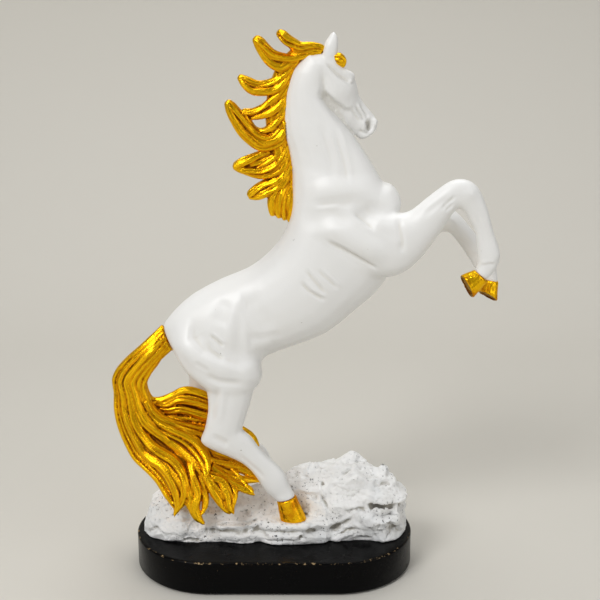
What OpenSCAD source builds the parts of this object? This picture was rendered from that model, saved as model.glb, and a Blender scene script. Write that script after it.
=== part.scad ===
// Rearing horse statue: resin castings pinned together, on a rock and a plinth with round ends.
// +X is the way the horse faces, +Y is its left side and +Z is up.
// The origin lies under the middle of the plinth. Heights in the horse and the rock count from
// the plinth's top face.

/* [Plinth] */
// Length of the plinth
plinth_l = 160; // [156:1:176]
// Width of the plinth, which its round ends take too
plinth_w = 90; // [86:1:100]
// Height of the plinth
plinth_h = 19; // [16:1:30]
// Bevel round the plinth's top edge
plinth_bevel = 0.8; // [0.4:0.1:1.6]
// Thickness of the felt under the plinth
felt_t = 1; // [0.6:0.1:2]
// Distance from the plinth's edge in to the felt's edge
felt_inset = 2; // [1:0.5:4]

/* [Rock] */
// Distance from the plinth's ends in to the rock's ends
rock_margin = 4; // [3:0.5:7]
// Height of the rock's highest point
rock_h = 44; // [42:0.5:48]
// Half width of the rock where it is widest
rock_half = 25; // [24:0.5:28]
// Height of the ledge that the right hind hoof stands on
right_ledge_h = 12.5; // [11:0.5:14]
// Height of the ledge that the left hind hoof stands on
left_ledge_h = 18; // [16.5:0.5:19.5]
// Diameter of the level seat for each hind hoof
hoof_seat_d = 21; // [19:0.5:24]

/* [Screws] */
// Diameter of the screws that hold the rock
screw_d = 4; // [3:0.5:5]
// Diameter of their heads
screw_head_d = 8; // [7:0.5:10]
// Height of their heads
screw_head_h = 3; // [2:0.5:4]
// How far they reach into the rock
screw_grip = 7; // [5:0.5:7.5]
// Distance between the two screws
screw_spacing = 84; // [70:1:96]

/* [Horse] */
// Half width at the hips
hip_half = 21.5; // [20:0.5:24]
// Half width at the flanks
flank_half = 19.5; // [18:0.5:21]
// Half width of the barrel
barrel_half = 21.5; // [20:0.5:24]
// Half width of the chest
chest_half = 18; // [16:0.5:20]
// Half width at the base of the neck
neck_base_half = 14.5; // [13:0.5:16]
// Half width of the neck behind the cheeks
throat_half = 8.6; // [7.5:0.2:9.5]
// Half width of the head at the cheeks
cheek_half = 8.6; // [7.8:0.2:9.6]
// Half width of the muzzle
muzzle_half = 5.3; // [4.5:0.1:6]
// Turn of the head to the horse's left
head_turn = 14; // [0:1:18]
// Distance of each foreleg from the middle
fore_spread = 12.5; // [11:0.5:14]
// Distance of each hind foot from the middle
hind_spread = 16; // [15:0.5:17]
// Half width of each thigh
thigh_half = 12; // [11:0.5:13]
// Half width of the cannons
cannon_half = 4; // [3.5:0.1:4.6]
// Half width of the hooves at the ground
hoof_half = 6; // [5.4:0.2:6.8]
// How far the thigh overhangs the hind leg at their seam
thigh_lip = 1.1; // [0.6:0.1:1.6]

/* [Pins] */
// Diameter of the neck dowel
neck_pin_d = 6; // [4:0.5:8]
// Length of the neck dowel
neck_pin_l = 40; // [30:1:50]
// Diameter of the leg dowels
leg_pin_d = 5; // [3:0.5:6]
// Length of the leg dowels
leg_pin_l = 26; // [20:1:30]
// Diameter of the hoof dowels
hoof_pin_d = 3; // [2:0.5:4]
// How far the hoof dowels reach up into the pasterns
hoof_pin_up = 8; // [6:0.5:9]
// How far the hoof dowels reach into the rock
hoof_pin_down = 8; // [6:0.5:8.5]
// Diameter of the tail's spigot
spigot_d = 7; // [5:0.5:8]
// Length of the tail's spigot inside the rump
spigot_l = 10; // [8:0.5:13]
// Room for glue between a dowel and its hole
glue_gap = 0.2; // [0.1:0.05:0.4]

/* [Hidden] */

white = "whitesmoke";
gold = "goldenrod";
steel = "silver";
stand_z = felt_t + plinth_h;
body_sides = 20;
limb_sides = 14;
lock_sides = 8;
slice_t = 0.1;
// Below 1 a ring has fuller flanks than an ellipse
fullness = 0.86;
round_fn = 48;

// A rib is [front or upper point, back or lower point, half width, sideways place].
// Its two points lie on the outline that the side view shows.

// Ribs of the barrel, from the tail's root to the base of the neck
neck_seam = [[10, 212.5], [60, 203.5], neck_base_half, 0];
barrel_ribs = [
    [[-62, 123.5], [-57.5, 113], hip_half - 14, 0],
    [[-55, 132], [-47, 101], hip_half - 3.5, 0],
    [[-44.5, 141.5], [-32, 92], hip_half - 1, 0],
    [[-28, 150.5], [-17, 93], hip_half, 0],
    [[-13.5, 156.5], [-5, 105.5], flank_half, 0],
    [[-2, 165.5], [12, 112.5], flank_half + 1, 0],
    [[6.5, 176.5], [30, 120], barrel_half, 0],
    [[10, 188], [47, 134], barrel_half - 0.5, 0],
    [[10.5, 198], [63, 150.5], chest_half + 1.5, 0],
    [[10.5, 205], [70, 184], chest_half, 0],
    [[10.5, 209.5], [66.5, 199], chest_half - 2, 0],
    neck_seam];

// Ribs of the neck, up to the poll
neck_ribs = [
    neck_seam,
    [[8.5, 222], [53, 215.5], neck_base_half - 2, 0],
    [[6, 231.5], [44.5, 228], neck_base_half - 3.3, 0],
    [[6, 242], [36, 238.5], throat_half + 1.2, 0],
    [[7.5, 252.5], [29, 249.5], throat_half + 0.2, 0],
    [[11.5, 264], [28, 258], throat_half - 0.4, 0],
    [[19, 272], [29.5, 264], throat_half - 1.6, 0]];

// Ribs of the head before it is turned, from the poll to the lips
poll_x = 22;
head_ribs = [
    [[19, 271], [23, 259], cheek_half - 2.1, 0],
    [[29, 272], [25, 254.5], cheek_half - 0.6, 0],
    [[36.5, 266.5], [28.5, 246], cheek_half, 0],
    [[44.2, 260], [33, 241], cheek_half - 0.4, 0],
    [[46.5, 251], [37.5, 237], muzzle_half + 1.3, 0],
    [[50, 245.5], [42, 232], muzzle_half + 0.1, 0],
    [[54, 241], [45.5, 228.5], muzzle_half - 0.1, 0],
    [[57.3, 236.5], [48, 226.3], muzzle_half, 0],
    [[57.5, 232.5], [51.5, 227], muzzle_half - 1.1, 0],
    [[56, 230.3], [53.5, 228.6], muzzle_half - 3.3, 0]];
ear_side = 4.4;
// The left ear points further forward than the right one
ear_lead = 2.2;
// Ribs of an ear, without their sideways place
ear = [
    [[26, 269], [33, 266.5], 2.6],
    [[27, 276], [34, 275], 2.7],
    [[29.5, 280], [33.8, 279.3], 1.7],
    [[31.6, 282.6], [32.6, 282.4], 0.4]];
function ear_ribs(side, lead) =
    [for (rib = ear) [rib[0] + [lead, 0], rib[1] + [lead, 0], rib[2], side]];
// Brows, on the head between its third and fourth ribs
brow_size = [10, 5.4, 7];
brow_down = 0.16;
brow_side = 0.56 * cheek_half;
brow_middle = (seam_place(head_ribs[2], brow_down) + seam_place(head_ribs[3], brow_down)) / 2;

// Ribs of the shoulders, which belong to the trunk, and of the forelegs below the elbow seams
elbow_half = fore_spread - 3.2;
right_elbow = [[74.5, 191], [74, 158], elbow_half, -fore_spread];
left_elbow = [[74.5, 184], [74, 157], elbow_half, fore_spread];
// Ribs of a shoulder: the two outline points, how much wider it is than the elbow, and the share of
// the elbow's sideways place
shoulder = [
    [[22, 198], [28, 166], -3.3, 0.85],
    [[39, 200], [45, 157], 0, 0.95],
    [[60, 189], [62.5, 153.5], 1, 0.97]];
function shoulder_ribs(elbow) =
    [for (rib = shoulder) [rib[0], rib[1], elbow[2] + rib[2], elbow[3] * rib[3]], elbow];
right_fore_coronet = [[115.8, 152.7], [109.5, 157.8], cannon_half + 0.2, -fore_spread];
right_foreleg_ribs = [
    right_elbow,
    [[80, 196], [81, 165.5], elbow_half - 0.9, -fore_spread],
    [[87.5, 202], [87.5, 174.5], cannon_half + 3.2, -fore_spread],
    [[93.5, 206.3], [93.5, 184.5], cannon_half + 2.2, -fore_spread],
    [[98.5, 207.8], [98.3, 191.3], cannon_half + 1.6, -fore_spread],
    [[104, 207.2], [100.5, 191.3], cannon_half + 1.6, -fore_spread],
    [[108.8, 204], [103, 189], cannon_half + 1, -fore_spread],
    [[112.5, 197.8], [106, 183.8], cannon_half + 0.2, -fore_spread],
    [[116, 188.7], [109, 177.7], cannon_half - 0.2, -fore_spread],
    [[118.8, 179], [110, 170], cannon_half - 0.2, -fore_spread],
    [[122.9, 167.5], [110.8, 163.5], cannon_half + 0.4, -fore_spread],
    [[121, 159], [110.6, 160.3], cannon_half - 0.2, -fore_spread],
    right_fore_coronet];
right_fore_sole = [[108, 143], [101.7, 155], hoof_half - 0.4, -fore_spread];
left_fore_coronet = [[126.8, 145.5], [120.3, 146], cannon_half + 0.2, fore_spread];
left_foreleg_ribs = [
    left_elbow,
    [[81, 187.5], [81, 163], elbow_half - 0.9, fore_spread],
    [[88, 191.5], [87, 169], cannon_half + 3.2, fore_spread],
    [[95, 194], [92.5, 173], cannon_half + 2.2, fore_spread],
    [[101.5, 193.5], [97, 174], cannon_half + 1.6, fore_spread],
    [[107, 190], [99.5, 172], cannon_half + 1.4, fore_spread],
    [[111, 183.5], [102.5, 168.5], cannon_half + 0.4, fore_spread],
    [[115, 174.5], [107, 162.5], cannon_half - 0.1, fore_spread],
    [[119.5, 166], [111.5, 156], cannon_half - 0.1, fore_spread],
    [[124.8, 157.5], [113.8, 152.5], cannon_half + 0.4, fore_spread],
    [[126, 151], [117.5, 149], cannon_half - 0.1, fore_spread],
    left_fore_coronet];
left_fore_sole = [[126.4, 133], [117, 139], hoof_half - 0.4, fore_spread];

// Ribs of the thighs, which belong to the trunk, and of the hind legs below the thigh seams
stifle_half = thigh_half - 2.2;
right_thigh = [[-9, 91.5], [-38.5, 91.5], stifle_half, 2 - hind_spread];
left_thigh = [[-20.5, 90], [-50.5, 90], stifle_half, hind_spread - 2];
right_thigh_ribs = [
    [[-24, 132], [-48, 127], thigh_half - 5, 8 - hind_spread],
    [[-15, 121], [-57.5, 119], thigh_half - 1.2, 5.5 - hind_spread],
    [[-7, 109], [-55.5, 113], thigh_half, 4 - hind_spread],
    [[-5.5, 97.5], [-49, 101], thigh_half - 0.5, 3 - hind_spread],
    right_thigh];
left_thigh_ribs = [
    [[-24, 132], [-48, 127], thigh_half - 5, hind_spread - 8],
    [[-15, 121], [-58, 119], thigh_half - 1.2, hind_spread - 5.5],
    [[-9, 109], [-58, 112], thigh_half, hind_spread - 4],
    [[-14, 97.5], [-55, 100], thigh_half - 0.5, hind_spread - 3],
    left_thigh];
right_hind_coronet = [[12.4, 27], [2, 23.8], cannon_half + 0.8, -hind_spread];
right_hind_ribs = [
    shrunk(right_thigh, thigh_lip),
    [[-12, 84], [-36.3, 84], cannon_half + 3.6, 1 - hind_spread],
    [[-14.5, 76], [-36.5, 76.5], cannon_half + 2.6, 0.5 - hind_spread],
    [[-17, 68.5], [-38.5, 67], cannon_half + 2, -hind_spread],
    [[-16, 66.3], [-41, 60.5], cannon_half + 1.8, -hind_spread],
    [[-12, 63], [-35.5, 55.8], cannon_half + 1.4, -hind_spread],
    [[-8.5, 57.5], [-26, 51.5], cannon_half + 0.8, -hind_spread],
    [[-3, 51], [-18.5, 47.7], cannon_half + 0.3, -hind_spread],
    [[3, 45.3], [-12.7, 42.5], cannon_half + 0.2, -hind_spread],
    [[7, 40], [-8.5, 36.3], cannon_half + 0.6, -hind_spread],
    [[8.8, 34.3], [-5.2, 30.5], cannon_half + 0.6, -hind_spread],
    [[10.5, 31], [-2, 27.5], cannon_half + 0.2, -hind_spread],
    right_hind_coronet];
right_hind_sole = [[19, right_ledge_h], [3.5, right_ledge_h], hoof_half + 0.4, -hind_spread];
left_hind_coronet = [[0.4, 31.5], [-10.5, 28.5], cannon_half + 0.8, hind_spread];
left_hind_ribs = [
    shrunk(left_thigh, thigh_lip),
    [[-24.5, 82.5], [-49.8, 82.5], cannon_half + 3.6, hind_spread - 1],
    [[-28, 74.5], [-51, 74.5], cannon_half + 2.6, hind_spread - 0.5],
    [[-31, 67.5], [-53.5, 66], cannon_half + 2, hind_spread],
    [[-30, 65.3], [-56, 60], cannon_half + 1.8, hind_spread],
    [[-26, 62], [-50.5, 55], cannon_half + 1.4, hind_spread],
    [[-21.5, 57], [-40.5, 51], cannon_half + 0.8, hind_spread],
    [[-15.5, 51.5], [-32.5, 47.5], cannon_half + 0.3, hind_spread],
    [[-9.5, 46.5], [-26, 43], cannon_half + 0.2, hind_spread],
    [[-5, 42.5], [-21, 38], cannon_half + 0.6, hind_spread],
    [[-3, 38], [-17.5, 34.5], cannon_half + 0.6, hind_spread],
    [[-1.5, 35], [-14.5, 31.5], cannon_half + 0.2, hind_spread],
    left_hind_coronet];
left_hind_sole = [[6.5, left_ledge_h], [-9, left_ledge_h], hoof_half + 0.4, hind_spread];
coronet_lip = 0.4;
hoof_lean = 20;

// Ribs of the tail's flowing core, inner edge first
tail_ribs = [
    [[-55, 108], [-58.5, 121.5], 6, 0],
    [[-62.5, 104.5], [-69, 117.5], 6.5, 0],
    [[-67.5, 98.5], [-78.5, 109], 6.5, 0],
    [[-70, 91.5], [-87.5, 99], 6.5, 0],
    [[-70, 84.5], [-90, 89], 7, 0],
    [[-67, 77], [-89.5, 76], 7.5, -1],
    [[-60, 70], [-88, 62.5], 8, -3],
    [[-52, 62], [-81, 51], 8, -7],
    [[-46, 54], [-70, 43], 6, -12]];
spigot_place = [-59, 0, 116];
spigot_tilt = 86;

// A lock is a row of [x, z, sideways place, half thickness] from its root to its tip
tail_locks = [
    [[-62, 120, -1, 2.2], [-70, 111.5, -2, 2.8], [-78.5, 103, -2, 3.1], [-86.5, 93.5, -2, 3.4],
        [-87, 83, -3, 3.4], [-85.5, 70.5, -4, 3.7], [-81, 58.5, -6, 4], [-74, 48.5, -10, 4],
        [-66.5, 39, -15, 4.2], [-60, 30.5, -20, 4.2], [-56, 23, -24, 2.2], [-55, 20, -25, 0.9]],
    [[-61, 117.5, -4, 2.8], [-69, 108, -5, 3.4], [-76.5, 99, -6, 3.6], [-82, 88, -6, 3.7],
        [-82, 76.5, -7, 4], [-77, 64.5, -9, 4.5], [-69.5, 55, -13, 4.8], [-60.5, 46, -18, 4.8],
        [-51.5, 37.5, -23, 4.8], [-45, 29, -26, 4.2], [-41, 21.5, -28, 2.5], [-39.5, 16.5, -29, 0.9]],
    [[-60, 114, -2, 2.5], [-67.5, 104.5, -4, 3.4], [-73.5, 95, -5, 3.4], [-77.5, 84.5, -6, 3.7],
        [-74.5, 73.5, -7, 4], [-66, 63, -9, 4.5], [-54.5, 55, -12, 4.8], [-44, 47, -17, 5.1],
        [-35.5, 38, -22, 4.8], [-28, 30.5, -25, 3.9], [-24, 25, -27, 2.2], [-22.5, 22, -27, 0.9]],
    [[-58.5, 110.5, 0, 2], [-66, 100.5, -1, 2.8], [-72, 91, -2, 2.5], [-71, 81.5, -4, 3.1],
        [-65, 72, -6, 3.4], [-55, 65.5, -8, 3.7], [-47, 58, -9, 3.7], [-41, 50.5, -13, 3.1],
        [-38, 45, -17, 2.1], [-36.5, 41, -19, 0.9]],
    [[-69, 58.5, -10, 3.4], [-58.5, 50, -14, 4], [-48.5, 41, -19, 3.9], [-41, 33.5, -23, 3.4],
        [-36.5, 28, -25, 1.5]],
    [[-58, 63.5, -5, 2.8], [-47, 59, -7, 3.4], [-37, 51.5, -8, 4], [-27.5, 44, -11, 4.3],
        [-19.5, 38.5, -17, 3.7], [-13.5, 34.5, -22, 2], [-10.5, 32, -24, 0.9]],
    [[-52.5, 63, -2, 2.9], [-40.5, 57, -4, 3.4], [-31.5, 50, -6, 3.7], [-22.5, 43.5, -6, 3.7],
        [-14.5, 39, -7, 2.6], [-8, 35.5, -8, 0.9]],
    [[-72, 81, 0, 2.8], [-65, 76, 2, 4], [-56, 73.5, 3, 5.2], [-46.5, 71, 3, 5.5], [-37, 68.5, 2, 5.2],
        [-27.5, 65, 1, 4.3], [-18.5, 59, 0, 3.2], [-11.5, 53, 0, 1.7]],
    [[-70, 78, 2, 2.3], [-62.5, 76.5, 4, 3.2], [-55, 79, 5, 3.2], [-48.5, 79.5, 5, 3.2],
        [-43, 77.5, 4, 3.2], [-37, 74, 3, 2.9], [-31, 69.5, 2, 1.7]]];
mane_locks = [
    [[25.5, 274, 0, 1.6], [20, 275, 0, 2], [15.5, 274.5, 1, 2.2], [11.5, 276, 1, 2.4], [7.5, 279.5, 1, 2.4],
        [5, 282.5, 1, 2]],
    [[22, 272, 0, 1.8], [15, 270.5, -2, 2.4], [8.5, 268.5, -2, 2.6], [2.5, 267.5, -2, 3.1], [-2.5, 270, -2, 2.8],
        [-5.5, 275, -2, 2.6], [-7.5, 278.5, -2, 2]],
    [[14, 266.5, 0, 2.1], [7.5, 262.5, 1, 2.6], [4, 258.5, 1, 3.2], [-0.5, 255, 1, 3.5], [-4, 253.5, 1, 3.7],
        [-8.5, 253.5, 1, 3.4], [-12.5, 255.5, 1, 2.4], [-16, 259, 1, 1.3]],
    [[13, 258, 0, 2.2], [6.5, 253.5, -1, 3.2], [2.5, 250, -2, 3.3], [-2.5, 246, -2, 3.1], [-7, 242.5, -2, 2.9],
        [-12.5, 240.5, -2, 2.4]],
    [[11, 243, 0, 2.4], [6.5, 231.5, -1, 4.3], [1.5, 226.5, -1, 4.5], [-4, 225, -1, 4.5], [-9.5, 228, -1, 4.3],
        [-14, 233, -1, 3.8], [-17.5, 238.5, -1, 3.3], [-20.5, 243, -1, 2.5], [-22, 246, -1, 1.6]],
    [[12, 228, 0, 2.4], [5, 219, 1, 4], [-0.5, 214, 1, 4.3], [-6.5, 211, 1, 4.2], [-12.5, 211, 1, 3.7],
        [-17, 211.5, 1, 2.8], [-19.5, 212, 1, 1.9]],
    [[12, 216, 0, 2.6], [6, 207, -1, 4.3], [1, 202.5, -1, 4.2], [-4.5, 200, -1, 3.5], [-9.5, 197.5, -1, 2.7],
        [-12, 196, -1, 1.9]],
    [[12, 206, 0, 2.6], [7, 196.5, 0, 4.3], [3, 191.5, 0, 3.6], [0, 188.5, 0, 2.3]],
    [[12, 199, 0, 2.2], [9, 190.5, 0, 3.3], [8, 186.5, 0, 2.5], [8.5, 183.5, 0, 1.1]]];
// Round tip beyond a lock's last place, as shares of its half thickness there
tip_reach = 0.6;
tip_share = 0.45;
forelock_path = [[26, 270, 0, 2.6], [32.5, 271, 0.5, 2.8], [37, 268.5, 1, 2.6], [38.5, 265, 1.5, 1]];
// Crest that the mane is glued along, from the withers to the poll
crest = [[8.5, 189], [6.5, 200], [5, 212], [3, 224], [1, 234], [1, 245], [3, 256], [8, 266.5], [16, 273], [24.5, 273.5]];
crest_r = 5.5;
crest_half = 6;
lock_width = 1.35;

// Ridge of the rock: [place along its half length, share of its height, share of its half width, y]
rock_ridge = [
    [-1, 0.1, 0.3, 0], [-0.94, 0.44, 0.66, 0], [-0.82, 0.58, 0.86, 0], [-0.64, 0.56, 0.94, 0],
    [-0.42, 0.5, 0.9, 1], [-0.2, 0.52, 0.84, 3], [0, 0.66, 0.74, 7], [0.14, 0.8, 0.74, 8],
    [0.3, 0.88, 0.86, 5], [0.46, 0.96, 0.96, 3], [0.6, 1, 0.98, 2], [0.72, 0.92, 0.94, 1],
    [0.83, 0.86, 0.86, 0], [0.92, 0.78, 0.74, 0], [0.97, 0.5, 0.6, 0], [1, 0.2, 0.3, 0]];
rock_sides = 24;
// Ledges on the rock: [x, y, foot height, half length, half width, height, corner pattern]
ledges = [
    [59, -3, 8, 18.5, 24, 12.5, 2],
    [11, -15, 0, 27, 12, right_ledge_h, 7],
    [-21, -13, 0, 21, 12, 10.5, 4],
    [-54, -7, 0, 19, 17, 13, 3]];
ledge_corners = 9;
rock_chip = 0.16;
screw_y = 6;
screw_holes = [for (side = [-1, 1]) [side * screw_spacing / 2, screw_y]];

// Rib that is smaller by a step all round, or larger where the step is negative
function shrunk(rib, step) = let (along = (rib[1] - rib[0]) / norm(rib[1] - rib[0]))
    [rib[0] + along * step, rib[1] - along * step, rib[2] - step, rib[3]];

// The numbers of a rib in one row, so that they can be blended
function rib_row(rib) = [rib[0].x, rib[0].y, rib[1].x, rib[1].y, rib[2], rib[3]];

// Row at share t of the way from row i to the next, on a smooth curve through all rows
function blend(rows, i, t) =
    let (a = rows[max(i - 1, 0)], b = rows[i], c = rows[i + 1], d = rows[min(i + 2, len(rows) - 1)])
    b + 0.5 * t * (c - a + t * (2 * a - 5 * b + 4 * c - d + t * (3 * (b - c) + d - a)));
function blended(rows, steps) =
    [for (i = [0:len(rows) - 2]) for (k = [0:steps - 1]) blend(rows, i, k / steps), rows[len(rows) - 1]];

// Closed ring of points through a rib's two points; fat says how far down it is widest
function ring(row, fat, sides) =
    [for (k = [0:sides - 1])
        let (a = 360 * k / sides, down = (1 - cos(a)) / 2 + (fat - 0.5) * pow(sin(a), 2))
        [row[0] + (row[2] - row[0]) * down,
            row[5] + row[4] * sign(sin(a)) * pow(abs(sin(a)), fullness),
            row[1] + (row[3] - row[1]) * down]];

// Two triangles between neighbouring points of two rings
function wall(i, k, sides) = let (a = i * sides + k, b = i * sides + (k + 1) % sides)
    [[a, b, b + sides], [a, b + sides, a + sides]];

// Closed solid through rings that have the same number of points
module skin(rings) {
    sides = len(rings[0]);
    last = (len(rings) - 1) * sides;
    polyhedron(
        points = [for (points = rings) each points],
        faces = [
            [for (k = [sides - 1:-1:0]) k],
            [for (k = [0:sides - 1]) last + k],
            for (i = [0:len(rings) - 2]) for (k = [0:sides - 1]) each wall(i, k, sides)]);
}

// Smooth solid through a row of ribs
module loft(ribs, steps, sides, fat = 0.5) {
    skin([for (row = blended([for (rib = ribs) rib_row(rib)], steps)) ring(row, fat, sides)]);
}

// Path with a round tip put on its end
function tipped(path) =
    let (end = path[len(path) - 1], run = end - path[len(path) - 2],
        reach = tip_reach * end[3] / norm([run.x, run.y]))
    [each path, [end.x + reach * run.x, end.y + reach * run.y, end[2], tip_share * end[3]]];

// Tapering lock of hair through a row of places and half thicknesses
module lock(path, width = lock_width) {
    rows = blended(tipped(path), 2);
    ribs = [for (i = [0:len(rows) - 1])
        let (p = rows[i], run = rows[min(i + 1, len(rows) - 1)] - rows[max(i - 1, 0)],
            way = [run.x, run.y] / norm([run.x, run.y]), out = [-way.y, way.x] * p[3])
        [[p.x, p.y] + out, [p.x, p.y] - out, p[3] * width, p[2]]];
    loft(ribs, 1, lock_sides);
}

// Point on a seam, at a share of the way from its first outline point to its second
function seam_place(rib, share) = let (p = rib[0] + (rib[1] - rib[0]) * share) [p.x, rib[3], p.y];

// Turn about Y that points a dowel square through a seam
function seam_tilt(rib) = let (d = rib[1] - rib[0]) atan2(-d.y, d.x);

// Dowel square through a seam, or its hole
module seam_dowel(rib, share, d, l) {
    translate(seam_place(rib, share))
        rotate([0, seam_tilt(rib), 0])
            cylinder(d = d, h = l, center = true, $fn = round_fn);
}

module neck_dowel(room = 0) { seam_dowel(neck_seam, 0.5, neck_pin_d + room, neck_pin_l + room); }

module elbow_dowels(room = 0) {
    for (seam = [right_elbow, left_elbow]) seam_dowel(seam, 0.38, leg_pin_d + room, leg_pin_l + room);
}

module thigh_dowels(room = 0) {
    for (seam = [right_thigh, left_thigh]) seam_dowel(seam, 0.52, leg_pin_d + room, leg_pin_l + room);
}

// Dowel from a pastern down through its hoof into the rock, or its hole
module hoof_dowel(coronet, sole, room = 0) {
    top = seam_place(coronet, 0.5);
    down = (top.z - sole[0].y) / cos(hoof_lean) + hoof_pin_down;
    translate(top)
        rotate([0, 180 - hoof_lean, 0])
            translate([0, 0, -hoof_pin_up - room / 2])
                cylinder(d = hoof_pin_d + room, h = hoof_pin_up + down + room, $fn = round_fn);
}

module hoof_dowels(room = 0) {
    hoof_dowel(right_hind_coronet, right_hind_sole, room);
    hoof_dowel(left_hind_coronet, left_hind_sole, room);
}

// Round spigot at the tail's root, or its socket in the rump
module tail_spigot(room = 0) {
    translate(spigot_place)
        rotate([0, spigot_tilt, 0])
            cylinder(d = spigot_d + room, h = spigot_l + room, $fn = round_fn);
}

module trunk_mass() {
    loft(barrel_ribs, 2, body_sides, 0.54);
    loft(right_thigh_ribs, 3, limb_sides);
    loft(left_thigh_ribs, 3, limb_sides);
    loft(shoulder_ribs(right_elbow), 3, limb_sides);
    loft(shoulder_ribs(left_elbow), 3, limb_sides);
}

module head_mass() {
    translate([poll_x, 0, 0])
        rotate([0, 0, head_turn])
            translate([-poll_x, 0, 0]) {
                loft(head_ribs, 2, body_sides, 0.5);
                loft(ear_ribs(-ear_side, 0), 2, lock_sides);
                loft(ear_ribs(ear_side, ear_lead), 2, lock_sides);
                for (side = [-1, 1])
                    translate(brow_middle + [0, side * brow_side, 0])
                        scale(brow_size / 2) sphere(1, $fn = 16);
            }
}

module neck_mass() { loft(neck_ribs, 2, body_sides, 0.6); }

// Share by which corner k of row i is knocked in, in an uneven pattern
function chip(i, k) = 1 - rock_chip * (0.5 + 0.5 * sin(i * 83 + k * 137));

// Plan of a ledge, with corners knocked in
function crag(half_l, half_w, pattern) =
    [for (k = [0:ledge_corners - 1])
        let (a = 360 * k / ledge_corners)
        chip(pattern, k) * [half_l * cos(a), half_w * sin(a)]];

// Ledge with an undercut foot and a smaller level top
module ledge(x, y, foot, half_l, half_w, h, pattern) {
    translate([x, y, foot])
        hull() {
            linear_extrude(slice_t) polygon(0.9 * crag(half_l, half_w, pattern));
            translate([0, 0, 0.6 * h])
                linear_extrude(slice_t) polygon(crag(half_l, half_w, pattern + 1));
            translate([0, 0, h - slice_t])
                linear_extrude(slice_t) polygon(0.8 * crag(half_l, half_w, pattern + 2));
        }
}

// Ring of the rock about a point of its foot, with points knocked in
function rock_ring(i) =
    let (r = rock_ridge[i], x = r[0] * (plinth_l / 2 - rock_margin), foot = [x, r[3], 0],
        smooth = ring([x, r[1] * rock_h, x, -r[1] * rock_h, r[2] * rock_half, r[3]], 0.5, rock_sides))
    [for (k = [0:rock_sides - 1]) foot + chip(i, k) * (smooth[k] - foot)];

module rock_mass() {
    difference() {
        skin([for (i = [0:len(rock_ridge) - 1]) rock_ring(i)]);
        translate([-plinth_l / 2, -plinth_w / 2, -2 * rock_h]) cube([plinth_l, plinth_w, 2 * rock_h]);
    }
    for (p = ledges) ledge(p[0], p[1], p[2], p[3], p[4], p[5], p[6]);
}

// Level seat that the rock has under a hind hoof
module hoof_seat(sole) {
    head_room = 60;
    translate(seam_place(sole, 0.5))
        cylinder(d = hoof_seat_d, h = head_room, $fn = round_fn);
}

module rock_with_seats() {
    difference() {
        rock_mass();
        hoof_seat(right_hind_sole);
        hoof_seat(left_hind_sole);
    }
}

// Plan with straight sides and round ends
module stadium(l, w) {
    hull() for (side = [-1, 1]) translate([side * (l - w) / 2, 0]) circle(d = w, $fn = 96);
}

module base_felt() {
    color("dimgray")
        linear_extrude(felt_t) stadium(plinth_l - 2 * felt_inset, plinth_w - 2 * felt_inset);
}

module plinth() {
    color("black")
        translate([0, 0, felt_t])
            difference() {
                hull() {
                    linear_extrude(plinth_h - plinth_bevel) stadium(plinth_l, plinth_w);
                    linear_extrude(plinth_h) stadium(plinth_l - 2 * plinth_bevel, plinth_w - 2 * plinth_bevel);
                }
                for (hole = screw_holes) translate([hole.x, hole.y, 0]) {
                    translate([0, 0, -slice_t])
                        cylinder(d = screw_d + glue_gap, h = plinth_h + 2 * slice_t, $fn = round_fn);
                    translate([0, 0, -slice_t])
                        cylinder(d = screw_head_d + glue_gap, h = screw_head_h + slice_t, $fn = round_fn);
                }
            }
}

module rock_screws() {
    color(steel)
        for (hole = screw_holes) translate([hole.x, hole.y, felt_t]) {
            cylinder(d = screw_head_d, h = screw_head_h, $fn = round_fn);
            cylinder(d = screw_d, h = plinth_h + screw_grip, $fn = round_fn);
        }
}

module rock() {
    color(white)
        translate([0, 0, stand_z])
            difference() {
                rock_with_seats();
                hoof_dowels(glue_gap);
                for (hole = screw_holes) translate([hole.x, hole.y, -slice_t])
                    cylinder(d = screw_d + glue_gap, h = screw_grip + slice_t + glue_gap, $fn = round_fn);
            }
}

module trunk() {
    color(white)
        translate([0, 0, stand_z])
            difference() {
                trunk_mass();
                neck_dowel(glue_gap);
                elbow_dowels(glue_gap);
                thigh_dowels(glue_gap);
                tail_spigot(glue_gap);
            }
}

module neck_and_head() {
    color(white)
        translate([0, 0, stand_z])
            difference() {
                union() {
                    neck_mass();
                    head_mass();
                }
                neck_dowel(glue_gap);
            }
}

module foreleg(ribs) {
    color(white)
        translate([0, 0, stand_z])
            difference() {
                loft(ribs, 2, limb_sides);
                elbow_dowels(glue_gap);
            }
}

module hind_leg(ribs) {
    color(white)
        translate([0, 0, stand_z])
            difference() {
                loft(ribs, 2, limb_sides);
                thigh_dowels(glue_gap);
                hoof_dowels(glue_gap);
            }
}

module hoof(coronet, sole) {
    color(gold)
        translate([0, 0, stand_z])
            difference() {
                loft([shrunk(coronet, -coronet_lip), sole], 1, limb_sides);
                hoof_dowels(glue_gap);
            }
}

module mane_mass() {
    for (i = [0:len(crest) - 2])
        hull() for (p = [crest[i], crest[i + 1]])
            translate([p.x, 0, p.y])
                scale([crest_r, crest_half, crest_r]) sphere(1, $fn = 10);
    for (path = mane_locks) lock(path);
}

module mane() {
    color(gold)
        translate([0, 0, stand_z])
            difference() {
                mane_mass();
                neck_mass();
                head_mass();
                trunk_mass();
            }
}

module forelock() {
    color(gold)
        translate([0, 0, stand_z])
            difference() {
                lock(forelock_path, 1);
                mane_mass();
                neck_mass();
                head_mass();
            }
}

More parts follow.
